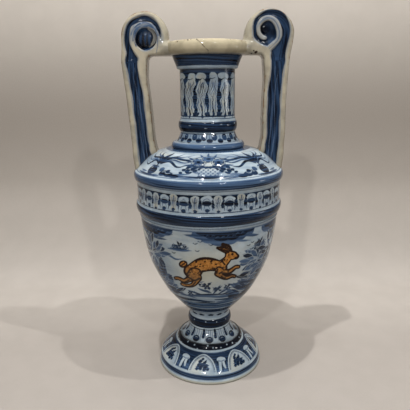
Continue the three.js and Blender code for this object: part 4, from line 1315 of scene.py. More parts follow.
class HandleFace(Paint):
    """A handle's face laid flat, with its paint. edge is each point's distance in from the
    outline, and the distances to the channel and the pit are below zero inside them."""

    def __init__(self, side, x, z, edge):
        super().__init__(x.shape)
        self.side, self.x, self.z, self.edge = side, x, z, edge
        scroll, edges = SCROLLS[side], strap_edges()
        height = np.minimum(z, STRAP_TOP)
        spread, upper = unit((262 - height) / 14), smooth((height - 322) / 26)
        inner, outer = (np.interp(height, edges[:, 0], edges[:, k]) for k in (1, 2))
        self.left = inner + INNER_RIB[side] + 3.0 * spread + 3.4 * upper
        self.right = outer - OUTER_RIB + 1.6 * upper
        in_strap = np.maximum(self.left - x, x - self.right)
        in_strap = in_strap + 0.15 * np.sin(z / 9 + 1) * np.sin(z / 4.1)
        in_scroll = polygon(x, z, spline(scroll["dark"], 1.5))
        share = unit((z - STRAP_TOP) / 5)
        self.dark = np.where(z < STRAP_TOP, in_strap, in_scroll * share + in_strap * (1 - share))
        cx, cz, size = scroll["pit"]
        self.pit = np.hypot(x - cx, z - cz) - size
        if side == "left":
            self.groove = np.minimum(self.dark, self.pit)
        else:
            self.rib = stroke(x, z, scroll["rib"], scroll["rib_widths"], 1.2)
            self.groove = np.maximum(self.dark, -self.rib)
        self.paint_channel()
        self.paint_edges()
        if side == "left":
            self.paint_left_scroll()
        else:
            self.paint_right_scroll()

    def depth(self, rounding):
        """How far each point lies behind the face's highest plane. The channel is sunk below the
        ribs, the pit below the channel, and the eye is a dome in the pit."""
        ex, ez, eye_size, eye_rise = SCROLLS[self.side]["eye"]
        eye = np.hypot(self.x - ex, self.z - ez) / eye_size
        sunk = CHANNEL_DEPTH * smooth(0.35 - self.groove / CHANNEL_SLOPE)
        middle = (self.left + self.right) / 2
        ridge = 0.9 * np.exp(-(((self.x - middle) / 2.8) ** 2)) * (self.z < STRAP_TOP + 2)
        sunk = sunk - ridge * smooth(-self.groove / 2)
        sunk = sunk + 1.6 * smooth(-self.pit / 4) * smooth(-self.groove / 2)
        sunk = sunk - eye_rise * np.sqrt(unit(1 - eye**2))
        inward = np.clip(rounding - self.edge, 0, rounding)
        corner = rounding - np.sqrt(np.maximum(rounding**2 - inward**2, 0))
        return corner + np.maximum(sunk, 0) * smooth(self.edge / 2.5)

    def paint_channel(self):
        """Cobalt in the channel, with two paler streaks where the brush ran dry."""
        x, z = self.x, self.z
        self["navy"] = self.groove + 0.15 + 0.3 * np.sin(z / 5.3 + 0.4 * x)
        for place, wide in ((0.34, 1), (0.6, 0.6)):
            run = np.abs(x - self.left - place * (self.right - self.left)
                         - 0.7 * np.sin(z / 13 + 9 * place))
            broken = 0.3 + 0.8 * np.sin(z / 15 + 5 * place) * np.sin(z / 26 + 7 * place)
            dry = run - wide * broken + 3 * unit((z - STRAP_TOP + 6) / 6)
            self.lift("navy", dry)
            self.paint("blue", np.maximum(dry - 0.4, self.groove))

    def paint_edges(self):
        """Glaze worn off the edges, grime and painted shade beside them and towards the inner edge,
        and the way that the brush went.
        """
        x, z, edge = self.x, self.z, self.edge
        self.above = unit((z - STRAP_TOP + 2) / 4)
        near_edge = unit(1 - edge / 2.2)
        inner_side = unit((self.left - INNER_RIB[self.side] * 0.55 - x) / 2.2) * (1 - self.above)
        self["warm"] = 0.15 * near_edge
        self["wear"] = near_edge * 0.85
        # Grime and painted shade along the edges, and painted shade towards the inner edge.
        self["shade_grime_and_thick_pigment"] = 0.5 * unit(1 - edge / 1.2) + 0.12 * inner_side
        over = np.minimum(edge, 12) + np.where(self.dark < 0, 0, 3)
        self["across"] = np.where(z < STRAP_TOP, x, over)

    def grey_ring(self, ring, thread):
        """Greys the scroll's rib with thin cobalt and draws a fine line along its middle."""
        widths = [0.4, 0.8, 0.9, 0.9, 0.9, 0.8, 0.7, 0.4, 0.4][: len(thread)]
        self.draw(self.x, self.z, ("blue", thread, widths))
        ring = ring * (0.25 + 0.55 * smooth((self.z - 361) / 12))
        ring = ring * unit(self.groove / 0.8) * self.above
        self["wash"] = np.maximum(0.9 * unit(1 - np.abs(self.groove - 0.5) / 1.7), ring)
        self.deepen("wash", 0.26)

    def paint_left_scroll(self):
        """Streaks on the eye, a painted highlight as a pale hook beside it, and thin arcs round the
        pit.
        """
        x, z, pit = self.x, self.z, self.pit
        ex, ez, _, _ = SCROLLS["left"]["eye"]
        glow = np.hypot((x - ex) / 7, (z - ez) / 7.4)
        for offset, wide in ((-3.6, 2.2), (0.6, 1.6), (5.4, 2.4)):
            knots = [(ex + offset, ez - 6), (ex + offset + 0.4, ez), (ex + offset, ez + 5.6)]
            streak = stroke(x, z, knots, [0.5, wide, 0.7])
            self.lift("navy", 0.3 * np.maximum(streak, (glow - 1) * 6))
            self.paint("blue", streak - 0.8)
        # Painted highlight: a pale blue-grey crescent along the pit's inner side.
        hook = [(ex - 3.4, ez - 7.8), (ex - 7.4, ez - 3.4), (ex - 8.6, ez + 1.6),
                (ex - 7, ez + 6.4), (ex - 2.5, ez + 9.6)]
        shine = stroke(x, z, hook, [0.9, 2.6, 2.8, 2.4, 1.4])
        self.lift("navy", shine)
        turn = np.arctan2(z - ez, ex - x)
        past = turn % (2 * math.pi)
        for offset, low, high, wide in (
            (2.2, 0.2, 3.3, 1), (4.6, 0.6, 2.9, 0.9), (6.6, 1, 2.4, 0.6), (0.8, 1.4, 3.8, 0.7),
        ):
            arc = np.abs(pit - offset) - wide * (0.7 + 0.4 * np.sin(5 * turn + offset))
            self.paint("blue", np.maximum(arc, 8 * np.maximum(low - past, past - high)))
        thread = [
            (51.6, 357.5), (50.6, 363), (50.5, 371), (52.2, 378.4), (56.6, 384.6), (62.5, 386.6),
            (69, 385.3), (74, 380.5), (75.9, 373),
        ]
        self.grey_ring(smooth((9.4 - pit) / 4), thread)
        self.deepen("wash", 0.75 * unit(0.5 - shine))

    def paint_right_scroll(self):
        """A greyed rib, and three brown specks on the bridge."""
        ring = smooth((1.2 - self.rib) / 1.2) * smooth((self.z - 358) / 7)
        self.grey_ring(ring, SCROLLS["right"]["rib"][2:10])
        for cx, cz, size in ((52.6, 357.2, 1.7), (50, 358.6, 1), (48.2, 355.8, 0.8)):
            self.paint("brown", spot(self.x, self.z, cx, cz, size, size * 0.75, 30))


def mirrored(points, faces, side):
    """The handle's points strayed from the mould, and for the left handle mirrored with the
    faces turned round."""
    stray = spline(np.array(DRIFT[side])[:, ::-1], 2)
    points = points + np.interp(points[:, 2:], stray[:, 1], stray[:, 0]) * np.array([1, 0, 0])
    if side == "right":
        return points, faces
    return points * np.array([-1, 1, 1]), [face[::-1] for face in faces]


def dome_height(radius):
    """The height of the shoulder's outside at a distance from the axis."""
    outline = shoulder_outline()
    top = outline[np.argmax(outline[:, 0]):]
    return np.interp(-radius, -top[:, 0], top[:, 1])


def side_layers(points, first):
    """The paint of a handle's side: bare glaze, worn towards its two edges, and darkened by grime
    and painted shade. first holds its points next to the front face."""
    depth = points[..., 1] - first[..., 1] + 2
    edge = np.minimum(depth, 2 * HALF_DEPTH - 2 - depth)
    layers = Paint(depth.shape)
    layers["wash"] = 0.28 * np.ones_like(depth)
    layers["warm"] = 0.15 * np.ones_like(depth)
    layers["wear"] = 0.85 * unit(1 - edge / 1.6) + 0.1
    # Grime and painted shade: the side is darker all over, and most towards its edges.
    layers["shade_grime_and_thick_pigment"] = 0.5 * unit(1 - edge / 1.2) + 0.1
    layers["across"] = points[..., 2] + 0.5 * depth
    return layers


def strap_piece(side, material):
    """A strap: one cross-section with two ribs and a channel, carried up the edges. Its foot
    follows the dome, and it sinks into the dome by half a millimetre."""
    edges = strap_edges()
    # Columns crowd towards the strap's two edges.
    columns, sides = STRAP_COLUMNS, SIDE_ROWS
    across = (1 - np.cos(np.linspace(0, math.pi, columns))) / 2
    across = 0.6 * across + 0.4 * np.linspace(0, 1, columns)

    def width_at(level):
        inner = np.interp(level, edges[:, 0], edges[:, 1])
        return inner, np.interp(level, edges[:, 0], edges[:, 2]) - inner

    foot = np.full(columns, edges[0, 0])
    for _ in range(12):
        inner, width = width_at(foot)
        foot = dome_height(np.hypot(inner + width * across, HALF_DEPTH * 0.75)) - 0.5
    rows = round((STRAP_TOP - edges[0, 0]) / 1.05)
    z = foot + np.linspace(0, 1, rows)[:, None] * (STRAP_TOP - foot)
    inner, width = width_at(z)
    x = inner + width * across
    edge = np.minimum(x - inner, inner + width - x)
    face = HandleFace(side, x, z, edge)
    # Painted shade where the strap's foot meets the dome.
    face.deepen("shade_grime_and_thick_pigment", 0.5 * unit(1 - (z - foot) / 2.5))
    front = np.stack([x, face.depth(EDGE_ROUND) - HALF_DEPTH, z], axis=-1)
    back = front * np.array([1, -1, 1])
    # The two sides, in columns from front to back, close the ring of each row.
    share = (np.arange(1, sides + 1) / (sides + 1))[None, :, None]
    outer_side = front[:, -1:] + share * (back[:, -1:] - front[:, -1:])
    inner_side = front[:, :1] + share * (back[:, :1] - front[:, :1])
    ring = np.concatenate([front, outer_side, back[:, ::-1], inner_side[:, ::-1]], axis=1)
    points = ring.reshape(-1, 3)
    ring_size = 2 * (columns + sides)
    faces = grid_faces(rows, ring_size, close_rows=False)
    k = np.arange(columns)
    behind = (2 * columns + sides - 1 - k).tolist()
    outer_run = list(range(columns, columns + sides))
    inner_run = list(range(2 * columns + sides, ring_size))
    top = (rows - 1) * ring_size
    for i in range(columns - 1):
        loop = [i, i + 1] + (outer_run if i == columns - 2 else []) + [behind[i + 1], behind[i]]
        loop += inner_run if i == 0 else []
        faces.append([top + corner for corner in loop])
        faces.append(loop[::-1])
    outer, inner = (side_layers(part, part[:, :1]) for part in (outer_side, inner_side))
    full = {}
    for layer, values in face.items():
        parts = [values, outer[layer], values[:, ::-1], inner[layer][:, ::-1]]
        full[layer] = np.concatenate(parts, axis=1).reshape(-1)
    points, faces = mirrored(points, faces, side)
    return make_object(f"{side}_handle_strap", points, faces, coded(full), material)


def scroll_outline(side):
    """The scroll's outline, anticlockwise, and how much of each point's edge is rounded: from the
    strap round over the top, down into the rim, and back along the bridge's underside."""
    radius = SCROLL_RADIUS[side]
    edges = strap_edges()
    inner, outer = edges[-1, 1], edges[-1, 2]
    arc = np.linspace(0, math.pi, 72)
    into_rim = [
        (SCROLL_X - radius, SCROLL_Z), (SCROLL_X - radius - 0.7, RIM_TOP - 0.4),
        (35.4, RIM_TOP - 2.2), (32, RIM_TOP - 3.4),
    ]
    parts = [
        (line((inner, STRAP_TOP), (outer, STRAP_TOP), 1), 0),
        (spline([(outer, STRAP_TOP), (SCROLL_X + radius - 0.4, 362),
                 (SCROLL_X + radius, SCROLL_Z)]), 1),
        (np.c_[SCROLL_X + radius * np.cos(arc), SCROLL_Z + radius * np.sin(arc)], 1),
        (spline(into_rim), 1), (line((32, RIM_TOP - 3.4), (34, BRIDGE_UNDERSIDE), 1), 0),
        (line((34, BRIDGE_UNDERSIDE), (inner - BRIDGE_FILLET, BRIDGE_UNDERSIDE), 1), 1),
    ]
    turn = np.linspace(math.pi / 2, 0, 12)
    centre = (inner - BRIDGE_FILLET, BRIDGE_UNDERSIDE - BRIDGE_FILLET)
    fillet = np.c_[centre[0] + BRIDGE_FILLET * np.cos(turn),
                   centre[1] + BRIDGE_FILLET * np.sin(turn)]
    parts.append((np.vstack([fillet, [[inner, STRAP_TOP]]]), 1))
    points = np.vstack([part[:-1] for part, _ in parts])
    rounded = np.concatenate([np.full(len(part) - 1, flag) for part, flag in parts])
    return points, rounded


def scroll_piece(side, material):
    """A scroll: a star of rings between a middle point and the outline, lifted by the face's
    shape in front and behind, and joined by a wall. Towards the rim it widens to lie along it."""
    outline, rounded = scroll_outline(side)
    count = len(outline)
    middle = np.array(SCROLL_MIDDLE)
    sides = SIDE_ROWS
    share = 1 - (1 - np.arange(1, SCROLL_RINGS + 1) / SCROLL_RINGS) ** 1.5
    plane = middle + (outline - middle)[None] * share[:, None, None]
    x, z = plane[..., 0], plane[..., 1]
    edge = np.full(x.shape, FAR)
    after = np.roll(outline, -1, axis=0)
    for start, end, flag in zip(outline, after, rounded):
        if flag:
            edge = np.minimum(edge, from_segment(x, z, start, end)[1])
    rounding = EDGE_ROUND + 4.0 * smooth((54 - x) / 10) * smooth((z - 352) / 3)
    face = HandleFace(side, x, z, edge)
    bridge = smooth((z - 353) / 4) * smooth((369.5 - z) / 6)
    flare = 7.5 * smooth((52 - x) / 15) ** 1.5 * bridge
    near_rim = smooth((58 - x) / 16)
    face.deepen("warm", 0.25 * near_rim)
    # Painted shade on the bridge under the rim, growing downwards from 360 mm.
    for layer, most in (("wear", 0.3 * near_rim), ("shade_grime_and_thick_pigment", 0.3 * near_rim * smooth((360 - z) / 6))):
        face[layer] = np.maximum(face[layer] * (1 - near_rim), most)
    front = np.stack([x, face.depth(rounding) - HALF_DEPTH - flare, z], axis=-1)
    back = front * np.array([1, -1, 1])
    at_middle = HandleFace(side, middle[:1], middle[1:], np.array([FAR]))
    centre = [middle[0], at_middle.depth(EDGE_ROUND)[0] - HALF_DEPTH, middle[1]]
    steps = (np.arange(1, sides + 1) / (sides + 1))[:, None, None]
    wall = front[-1:] + steps * (back[-1:] - front[-1:])
    # Rings from the front's middle out, over the edge and back in behind.
    rows = np.concatenate([front, wall, back[::-1]])
    points = np.vstack([rows.reshape(-1, 3), [centre], [[centre[0], -centre[1], centre[2]]]])
    last = len(rows) * count
    s = np.arange(count)
    n = (s + 1) % count
    faces = np.array(grid_faces(len(rows), count, close_rows=False))[:, ::-1].tolist()
    faces += np.stack([np.full(count, last), s, n], axis=-1).tolist()
    faces += np.stack([np.full(count, last + 1), last - count + n, last - count + s],
                      axis=-1).tolist()
    edging = side_layers(wall, front[-1:])
    full = {}
    for layer, values in face.items():
        parts = [values.reshape(-1), edging[layer].reshape(-1), values[::-1].reshape(-1)]
        full[layer] = np.concatenate([*parts, at_middle[layer], at_middle[layer]])
    points, faces = mirrored(points, faces, side)
    return make_object(f"{side}_handle_scroll", points, faces, coded(full), material)


# The turned sections' outlines.


def foot_outline():
    """Radius and height up the flared foot, from its resting ring to the cone."""
    flare = shares([[0, 0], [0.21, 0.3], [0.46, 0.56], [0.74, 0.8], [1, 1]],
                   (FOOT_RADIUS - 2.2, 11), (CONE_RADIUS, CONE_SEAT))
    edge = [(FOOT_RADIUS - 0.7, 0), (FOOT_RADIUS - 0.1, 0.6), (FOOT_RADIUS, 2.4),
            (FOOT_RADIUS - 1.1, 5.5)]
    return spline(np.vstack([edge, flare]), 0.7)


def cone_outline():
    """A round moulding and the hollowed cone up to the stem."""
    top = (CONE_RADIUS - 5.4, CONE_SEAT + 5.4)
    cone = shares([[0, 0.02], [0.42, 0.28], [0.82, 0.62], [1, 1]], top, (STEM_RADIUS, KNOB_SEAT))
    return joined(moulding((CONE_RADIUS, CONE_SEAT), top, 1.5, 0.6), spline(cone, 0.7))


def belly_outline():
    """The tapering belly, its bead and the large moulding."""
    bead = (FRIEZE_RADIUS - 2.4, FRIEZE_SEAT - 16.4)
    table = [
        [0, 0], [0.002, 0.02], [0.03, 0.045], [0.1, 0.083], [0.2, 0.13], [0.35, 0.204], [0.5, 0.29],
        [0.62, 0.38], [0.73, 0.475], [0.815, 0.565], [0.875, 0.65], [0.92, 0.74], [0.96, 0.84],
        [0.99, 0.94], [1, 1],
    ]
    wall = spline(shares(table, (STEM_RADIUS, BELLY_SEAT), bead), 1.05)
    bead_top = (bead[0], bead[1] + 4.2)
    return joined(wall, moulding(bead, bead_top, 0.8, 0.7),
                  moulding(bead_top, (FRIEZE_RADIUS + 0.5, FRIEZE_SEAT), 2.6, 1))


def shoulder_outline():
    """A round moulding and the dome up to the collar."""
    edge = (FRIEZE_RADIUS + 1, SHOULDER_SEAT + 11)
    table = [
        [0, 0], [0.03, 0.04], [0.1, 0.15], [0.18, 0.285], [0.27, 0.46], [0.37, 0.63], [0.5, 0.79],
        [0.65, 0.905], [0.82, 0.975], [1, 1],
    ]
    return joined(moulding((FRIEZE_RADIUS, SHOULDER_SEAT), edge, 2.6),
                  spline(shares(table, edge, (COLLAR_RADIUS, COLLAR_SEAT))))


def collar_outline():
    """A round moulding, a small ledge and the short cone under the neck."""
    foot = (NECK_RADIUS + 4.6, COLLAR_SEAT + 7.5)
    ledge = (foot[0] + 1.2, foot[1])
    cone = [foot, (NECK_RADIUS + 1.9, COLLAR_SEAT + 12.7), (NECK_RADIUS, NECK_SEAT)]
    return joined(moulding((COLLAR_RADIUS, COLLAR_SEAT), ledge, 3, 0.6), line(ledge, foot, 0.6),
                  spline(cone, 0.6))


def neck_outline():
    """A round moulding, a fillet and the upright tube."""
    fillet = (NECK_RADIUS + 0.9, NECK_SEAT + 12)
    foot = (NECK_RADIUS, NECK_SEAT + 15.5)
    return joined(moulding((NECK_RADIUS, NECK_SEAT), fillet, 2, 0.7), line(fillet, foot, 0.7),
                  line(foot, (NECK_RADIUS, CAPITAL_SEAT), 0.7))


def capital_outline():
    """The flare under the rim."""
    return spline([(NECK_RADIUS, CAPITAL_SEAT), (NECK_RADIUS + 2.6, CAPITAL_SEAT + 1),
                   (CAPITAL_RADIUS - 2.5, CAPITAL_SEAT + 2.7),
                   (CAPITAL_RADIUS - 1.8, CAPITAL_SEAT + 5.2), (CAPITAL_RADIUS + 1.6, RIM_SEAT)],
                   0.6)


def rim_outline():
    """The thick rounded rim. Its top lies a little under the node's, as in the photograph."""
    top = RIM_TOP - LIP_DROP
    knots = shares([[0.7, 0.07], [0.16, 0.27], [0, 0.52], [0.12, 0.78], [0.5, 0.95], [1, 1]],
                   (RIM_RADIUS, RIM_SEAT), (RIM_RADIUS - 5, top))
    return joined(line((CAPITAL_RADIUS, RIM_SEAT), knots[0], 0.8), spline(knots, 0.7))


# The pieces, group by group. An inside line runs down from the top seat to the bottom one.


def build_foot(material, dark):
    """The hollow foot, the cone with its tongue's bore, and the ring between foot and belly."""
    inside = [(HOLLOW_BORE, 29.4), (33.5, 26.5), (38.1, 22.2), (44.4, 17.6), (49.6, 12.8),
              (53.2, 8.7), (55, 3), (55, 0)]
    turned_piece("pedestal_foot", foot_outline(), inside, paint_foot, material)
    inside = [(STEM_BORE, 49.5), (17.7, 47.9), (20, 40.9), (27, 35), (HOLLOW_BORE, 32),
              (HOLLOW_BORE, 29.4)]
    turned_piece("pedestal_cone", cone_outline(), inside, paint_cone, material)
    ring = joined(moulding((STEM_RADIUS, KNOB_SEAT), (STEM_RADIUS, BELLY_SEAT - 1.7), 1.8, 0.7),
                  line((STEM_RADIUS, BELLY_SEAT - 1.7), (STEM_RADIUS, BELLY_SEAT), 0.6))
    inside = [(STEM_BORE, BELLY_SEAT), (STEM_BORE, KNOB_SEAT)]
    turned_piece("stem_knob", ring, inside, paint_knob, dark)


def build_body(material):
    """The belly with its floor, the frieze and the shoulder."""
    under = [(0, BELLY_SEAT + 3.3), (STEM_BORE, BELLY_SEAT + 3.3), (STEM_BORE, BELLY_SEAT)]
    inside = [
        (BELLY_BORE, 201.2), (BELLY_BORE, 197), (71, 187), (70.4, 180), (67.8, 161), (64.1, 143),
        (58.4, 126.5), (49.4, 108.5), (38.1, 92), (26.6, 79), (17.5, 73.2), (8, 71.3), (0, 71),
    ]
    turned_piece("belly", joined(under, belly_outline()), inside, paint_belly, material)
    wall = line((FRIEZE_RADIUS, FRIEZE_SEAT), (FRIEZE_RADIUS, SHOULDER_SEAT), 0.6)
    inside = [(BELLY_BORE, SHOULDER_SEAT), (BELLY_BORE, FRIEZE_SEAT)]
    turned_piece("frieze_band", wall, inside, paint_frieze, material)
    inside = [
        (COLLAR_BORE, 258.5), (COLLAR_BORE, 255), (38, 252), (49, 250.8), (57.4, 247.4),
        (64, 242.2), (70, 236), (BELLY_BORE, 228), (BELLY_BORE, SHOULDER_SEAT),
    ]
    turned_piece("shoulder", shoulder_outline(), inside, paint_shoulder, material)


def build_neck(material, dark, cream):
    """The collar, the neck, the capital and the rim."""
    inside = [(NECK_BORE, NECK_SEAT), (25.5, 268.6), (28.4, 262.9), (COLLAR_BORE, 260),
              (COLLAR_BORE, COLLAR_SEAT)]
    turned_piece("neck_collar", collar_outline(), inside, paint_collar, material)
    inside = [(NECK_BORE, CAPITAL_SEAT), (NECK_BORE, NECK_SEAT)]
    turned_piece("neck", neck_outline(), inside, paint_neck, material)
    inside = [(RIM_BORE, RIM_SEAT), (RIM_BORE, 351.3), (NECK_BORE, 344), (NECK_BORE, CAPITAL_SEAT)]
    turned_piece("capital", capital_outline(), inside, paint_capital, dark)
    top = RIM_TOP - LIP_DROP
    lip = spline([(RIM_RADIUS - 5, top), (RIM_RADIUS - 8, top), (30.5, 367.2), (RIM_BORE, 364)],
                 0.8)
    inside = joined(lip, [(RIM_BORE, RIM_SEAT)])
    turned_piece("mouth_rim", rim_outline(), inside, paint_rim, cream)


# The stage, in millimetres for the backdrop and in metres for the camera and the lamps.

FLOOR_FRONT = 1500
BACKDROP_REACH = 1600
# Pitch down, yaw and roll in degrees.
CAMERA_ANGLES = (14.30, -0.45, -0.64)
CAMERA_PLACE = (0.0, -0.5204, 0.3247)
LENS = 41.27
SENSOR_WIDTH = 36.0
SURROUNDINGS_STRENGTH = 0.26
# Each lamp's name, place, target, size and power in watts. The softbox's power is a property.
LAMPS = (
    ("spot_left", (-0.15, -0.227, 1.17), (0, 0, 0.2), (0.022, 0.022), 4.7),
    ("spot_right", (0.38, -0.235, 1.17), (0, 0, 0.2), (0.022, 0.022), 3.3),
    ("overhead_left", (-0.10, -0.09, 1.24), (0, 0, 0.24), (0.018, 0.018), 0.95),
    ("overhead_right", (0.21, -0.09, 1.24), (0, 0, 0.24), (0.018, 0.018), 0.75),
    ("front_left", (-0.406, -1.593, 1.339), (0, 0, 0.2), (0.07, 0.07), 8.2),
    ("front_right", (0.631, -1.578, 1.254), (0, 0, 0.2), (0.07, 0.07), 6.2),
    ("softbox_top", (-0.1, -0.75, 1.35), (0, 0, 0.2), (1.0, 0.8), None),
    ("glint_left", (-0.406, -1.593, 1.339), (0, 0, 0.2), (0.13, 0.13), 14.0),
    ("glint_right", (0.631, -1.578, 1.254), (0, 0, 0.2), (0.13, 0.13), 12.0),
    ("glint_beside", (0.945, -0.10, 0.31), (0, 0, 0.31), (0.26, 0.12), 0.8),
)


def build_stage(sizes, colours):
    """The backdrop, the camera, the lamps and the surroundings."""
    build_backdrop(sizes, colours)
    build_camera()
    build_lamps(sizes)
    build_world(colours)
    bpy.context.scene.view_settings.view_transform = "Standard"


def build_backdrop(sizes, colours):
    """A floor that bends up into a wall: flat, then a quarter turn, then upright."""
    turn = np.linspace(0, math.pi / 2, 25)
    start, radius = sizes.floor_depth / MM, (sizes.wall_distance - sizes.floor_depth) / MM
    curve = np.c_[start + radius * np.sin(turn), radius * (1 - np.cos(turn))]
    profile = joined([(-FLOOR_FRONT, 0)], curve, [(start + radius, BACKDROP_REACH)])
    across = np.linspace(-BACKDROP_REACH, BACKDROP_REACH, 33)
    y, x = np.meshgrid(profile[:, 0], across, indexing="ij")
    z = np.broadcast_to(profile[:, 1:], y.shape)
    points = np.stack([x, y, z], axis=-1).reshape(-1, 3) * MM
    mesh = bpy.data.meshes.new("backdrop")
    mesh.from_pydata(points.tolist(), [], grid_faces(len(profile), len(across), False, False))
    mesh.polygons.foreach_set("use_smooth", [True] * len(mesh.polygons))
    mesh.materials.append(backdrop_material(colours))
    backdrop = bpy.data.objects.new("backdrop", mesh)
    bpy.context.scene.collection.objects.link(backdrop)
    backdrop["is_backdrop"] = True


def build_camera():
    """The camera that took the photograph's view."""
    pitch, yaw, roll = (math.radians(v) for v in CAMERA_ANGLES)
    forward = np.array([math.sin(yaw) * math.cos(pitch), math.cos(yaw) * math.cos(pitch),
                        -math.sin(pitch)])
    level = np.array([math.cos(yaw), -math.sin(yaw), 0.0])
    upright = np.cross(level, forward)
    right = math.cos(roll) * level + math.sin(roll) * upright
    up = -math.sin(roll) * level + math.cos(roll) * upright
    eye = bpy.data.cameras.new("camera")
    eye.sensor_fit, eye.sensor_width, eye.lens = "HORIZONTAL", SENSOR_WIDTH, LENS
    camera = bpy.data.objects.new("camera", eye)
    rows = [[right[i], up[i], -forward[i], CAMERA_PLACE[i]] for i in range(3)]
    camera.matrix_world = Matrix([*rows, [0, 0, 0, 1]])
    bpy.context.scene.collection.objects.link(camera)
    bpy.context.scene.camera = camera


def build_lamps(sizes):
    """Small ceiling spots and front lamps, and a softbox. Glints show in the gloss alone. The
    spots' own gloss would be too large this near, so the overhead lamps stand in for it."""
    for name, place, target, size, power in LAMPS:
        lamp = bpy.data.lights.new(name, "AREA")
        lamp.shape, lamp.energy = "ELLIPSE", sizes.lamp_power if power is None else power
        lamp.size, lamp.size_y = size
        holder = bpy.data.objects.new(name, lamp)
        holder.visible_camera = False
        holder.visible_diffuse = not name.startswith("glint")
        holder.visible_glossy = not name.startswith("spot")
        aim = (Vector(target) - Vector(place)).to_track_quat("-Z", "Y")
        holder.matrix_world = Matrix.Translation(place) @ aim.to_matrix().to_4x4()
        bpy.context.scene.collection.objects.link(holder)


def build_world(colours):
    """Surroundings that light the vase faintly. What is seen past the backdrop, straight or
    mirrored, is as pale as the backdrop."""
    world = bpy.data.worlds.new("studio")
    world.use_nodes = True
    tree = world.node_tree
    tree.nodes.clear()
    glow = add(tree, "ShaderNodeBackground", {},
               {0: colours.surroundings, 1: SURROUNDINGS_STRENGTH})
    path = add(tree, "ShaderNodeLightPath")
    seen = maths(tree, "MAXIMUM", path.outputs["Is Camera Ray"], path.outputs["Is Glossy Ray"])
    seen = maths(tree, "MAXIMUM", seen, path.outputs["Is Transmission Ray"])
    pale = add(tree, "ShaderNodeBackground", {}, {0: colours.wall, 1: 1.0})
    either = add(tree, "ShaderNodeMixShader", {}, {0: seen, 1: glow.outputs[0], 2: pale.outputs[0]})
    add(tree, "ShaderNodeOutputWorld", {}, {0: either.outputs[0]})
    bpy.context.scene.world = world


def backdrop_material(colours):
    """Matt painted board, faintly mottled, with light and shade painted into its colour: pale on
    the floor, a painted band of light where the floor ends, a band of painted shade behind the
    neck and painted light again above. From behind one sees through it."""
    material = bpy.data.materials.new("matt_painted_backdrop")
    material.use_nodes = True
    tree = material.node_tree
    tree.nodes.clear()
    place = add(tree, "ShaderNodeTexCoord").outputs["Object"]
    parts = add(tree, "ShaderNodeSeparateXYZ", {}, {0: place})
    # These steps are painted light and shade: lit where the floor ends, shaded behind the neck, lit
    # above.
    colour = mixed(tree, ranged(tree, parts.outputs[1], 0.0, 0.17), colours.floor,
                   colours.lit_floor_end)
    colour = mixed(tree, ranged(tree, parts.outputs[1], 0.20, 0.33), colour, colours.wall_low)
    colour = mixed(tree, ranged(tree, parts.outputs[2], 0.10, 0.27), colour, colours.wall)
    colour = mixed(tree, ranged(tree, parts.outputs[2], 0.27, 0.50), colour, colours.lit_wall_top)
    # Mottling 30 mm wide and a fine grain of 2 mm, both faint.
    cloudy = ranged(tree, noise(tree, place, 33, 3), 0.3, 0.7, 0.0, 0.10)
    colour = mixed(tree, cloudy, colour, colours.wall)
    grain = ranged(tree, noise(tree, place, 600, 2), 0.3, 0.7, 0.0, 0.08)
    colour = mixed(tree, grain, colour, colours.lit_floor_end)
    shader = add(tree, "ShaderNodeBsdfPrincipled", {},
                 {"Base Color": colour, "Roughness": 0.9, "Specular IOR Level": 0.1})
    behind = add(tree, "ShaderNodeNewGeometry").outputs["Backfacing"]
    clear = add(tree, "ShaderNodeBsdfTransparent")
    either = add(tree, "ShaderNodeMixShader", {},
                 {0: behind, 1: shader.outputs[0], 2: clear.outputs[0]})
    add(tree, "ShaderNodeOutputMaterial", {}, {0: either.outputs[0]})
    return material


# Properties, operators and panel.


def tone(name, description, code):
    """A colour property whose default is an sRGB hex value."""
    return bpy.props.FloatVectorProperty(name=name, description=description, subtype="COLOR",
                                         size=4, min=0.0, max=1.0, default=linear(code))


class VaseColours(bpy.types.PropertyGroup):
    """The glazes' and pigments' colours, and the stage's."""

    ground: tone("Glaze", "Tin glaze where it is thick", "#bac8d1")
    shaded: tone("Thin glaze", "Tin glaze where it is thin", "#a0b1bd")
    warm: tone("Warm glaze", "Tin glaze where it turned in the kiln", "#b3ac92")
    cream: tone("Cream glaze", "The rim's and the scrolls' glaze", "#bcae92")
    cream_thin: tone("Thin cream glaze", "The cream glaze where it is thin", "#9c9078")
    wash: tone("Wash", "Cobalt thinned with water", "#64768a")
    blue: tone("Blue", "Cobalt from a half-dry brush", "#2b3e59")
    blue_light: tone("Light blue", "Streaks in the blue", "#4c6380")
    navy: tone("Dark blue", "Cobalt from a full brush", "#050a16")
    navy_light: tone("Dark blue streaks", "Streaks in the dark blue", "#2a3f5b")
    ochre: tone("Ochre", "The yellow pigment", "#bd8441")
    ochre_dark: tone("Dark ochre", "The yellow pigment where it is thick", "#8a5620")
    brown: tone("Brown", "Outlines, cracks and chips", "#22120a")
    clay: tone("Clay", "The body where the glaze wore off", "#7d6045")
    # Also the colour of painted shade in creases, under mouldings and on the handles' sides, and of
    # the hare's thicker pigment.
    shade_grime_and_thick_pigment: tone("Grime", "Dirt in corners and along edges", "#4c4438")
    floor: tone("Floor", "The floor under the vase", "#b5ada5")
    # Painted light: the brighter band where the floor ends.
    lit_floor_end: tone("Far floor", "The floor where it ends", "#cac2b9")
    wall_low: tone("Low wall", "The backdrop's foot", "#b0a89f")
    # Painted shade: the darker band of the backdrop behind the neck.
    wall: tone("Wall", "The backdrop behind the neck", "#948c83")
    # Painted light on the backdrop's upper part.
    lit_wall_top: tone("Wall top", "The backdrop's upper part", "#c2bab0")
    surroundings: tone("Surroundings", "What the glaze mirrors beside the lamps", "#e6e8ea")


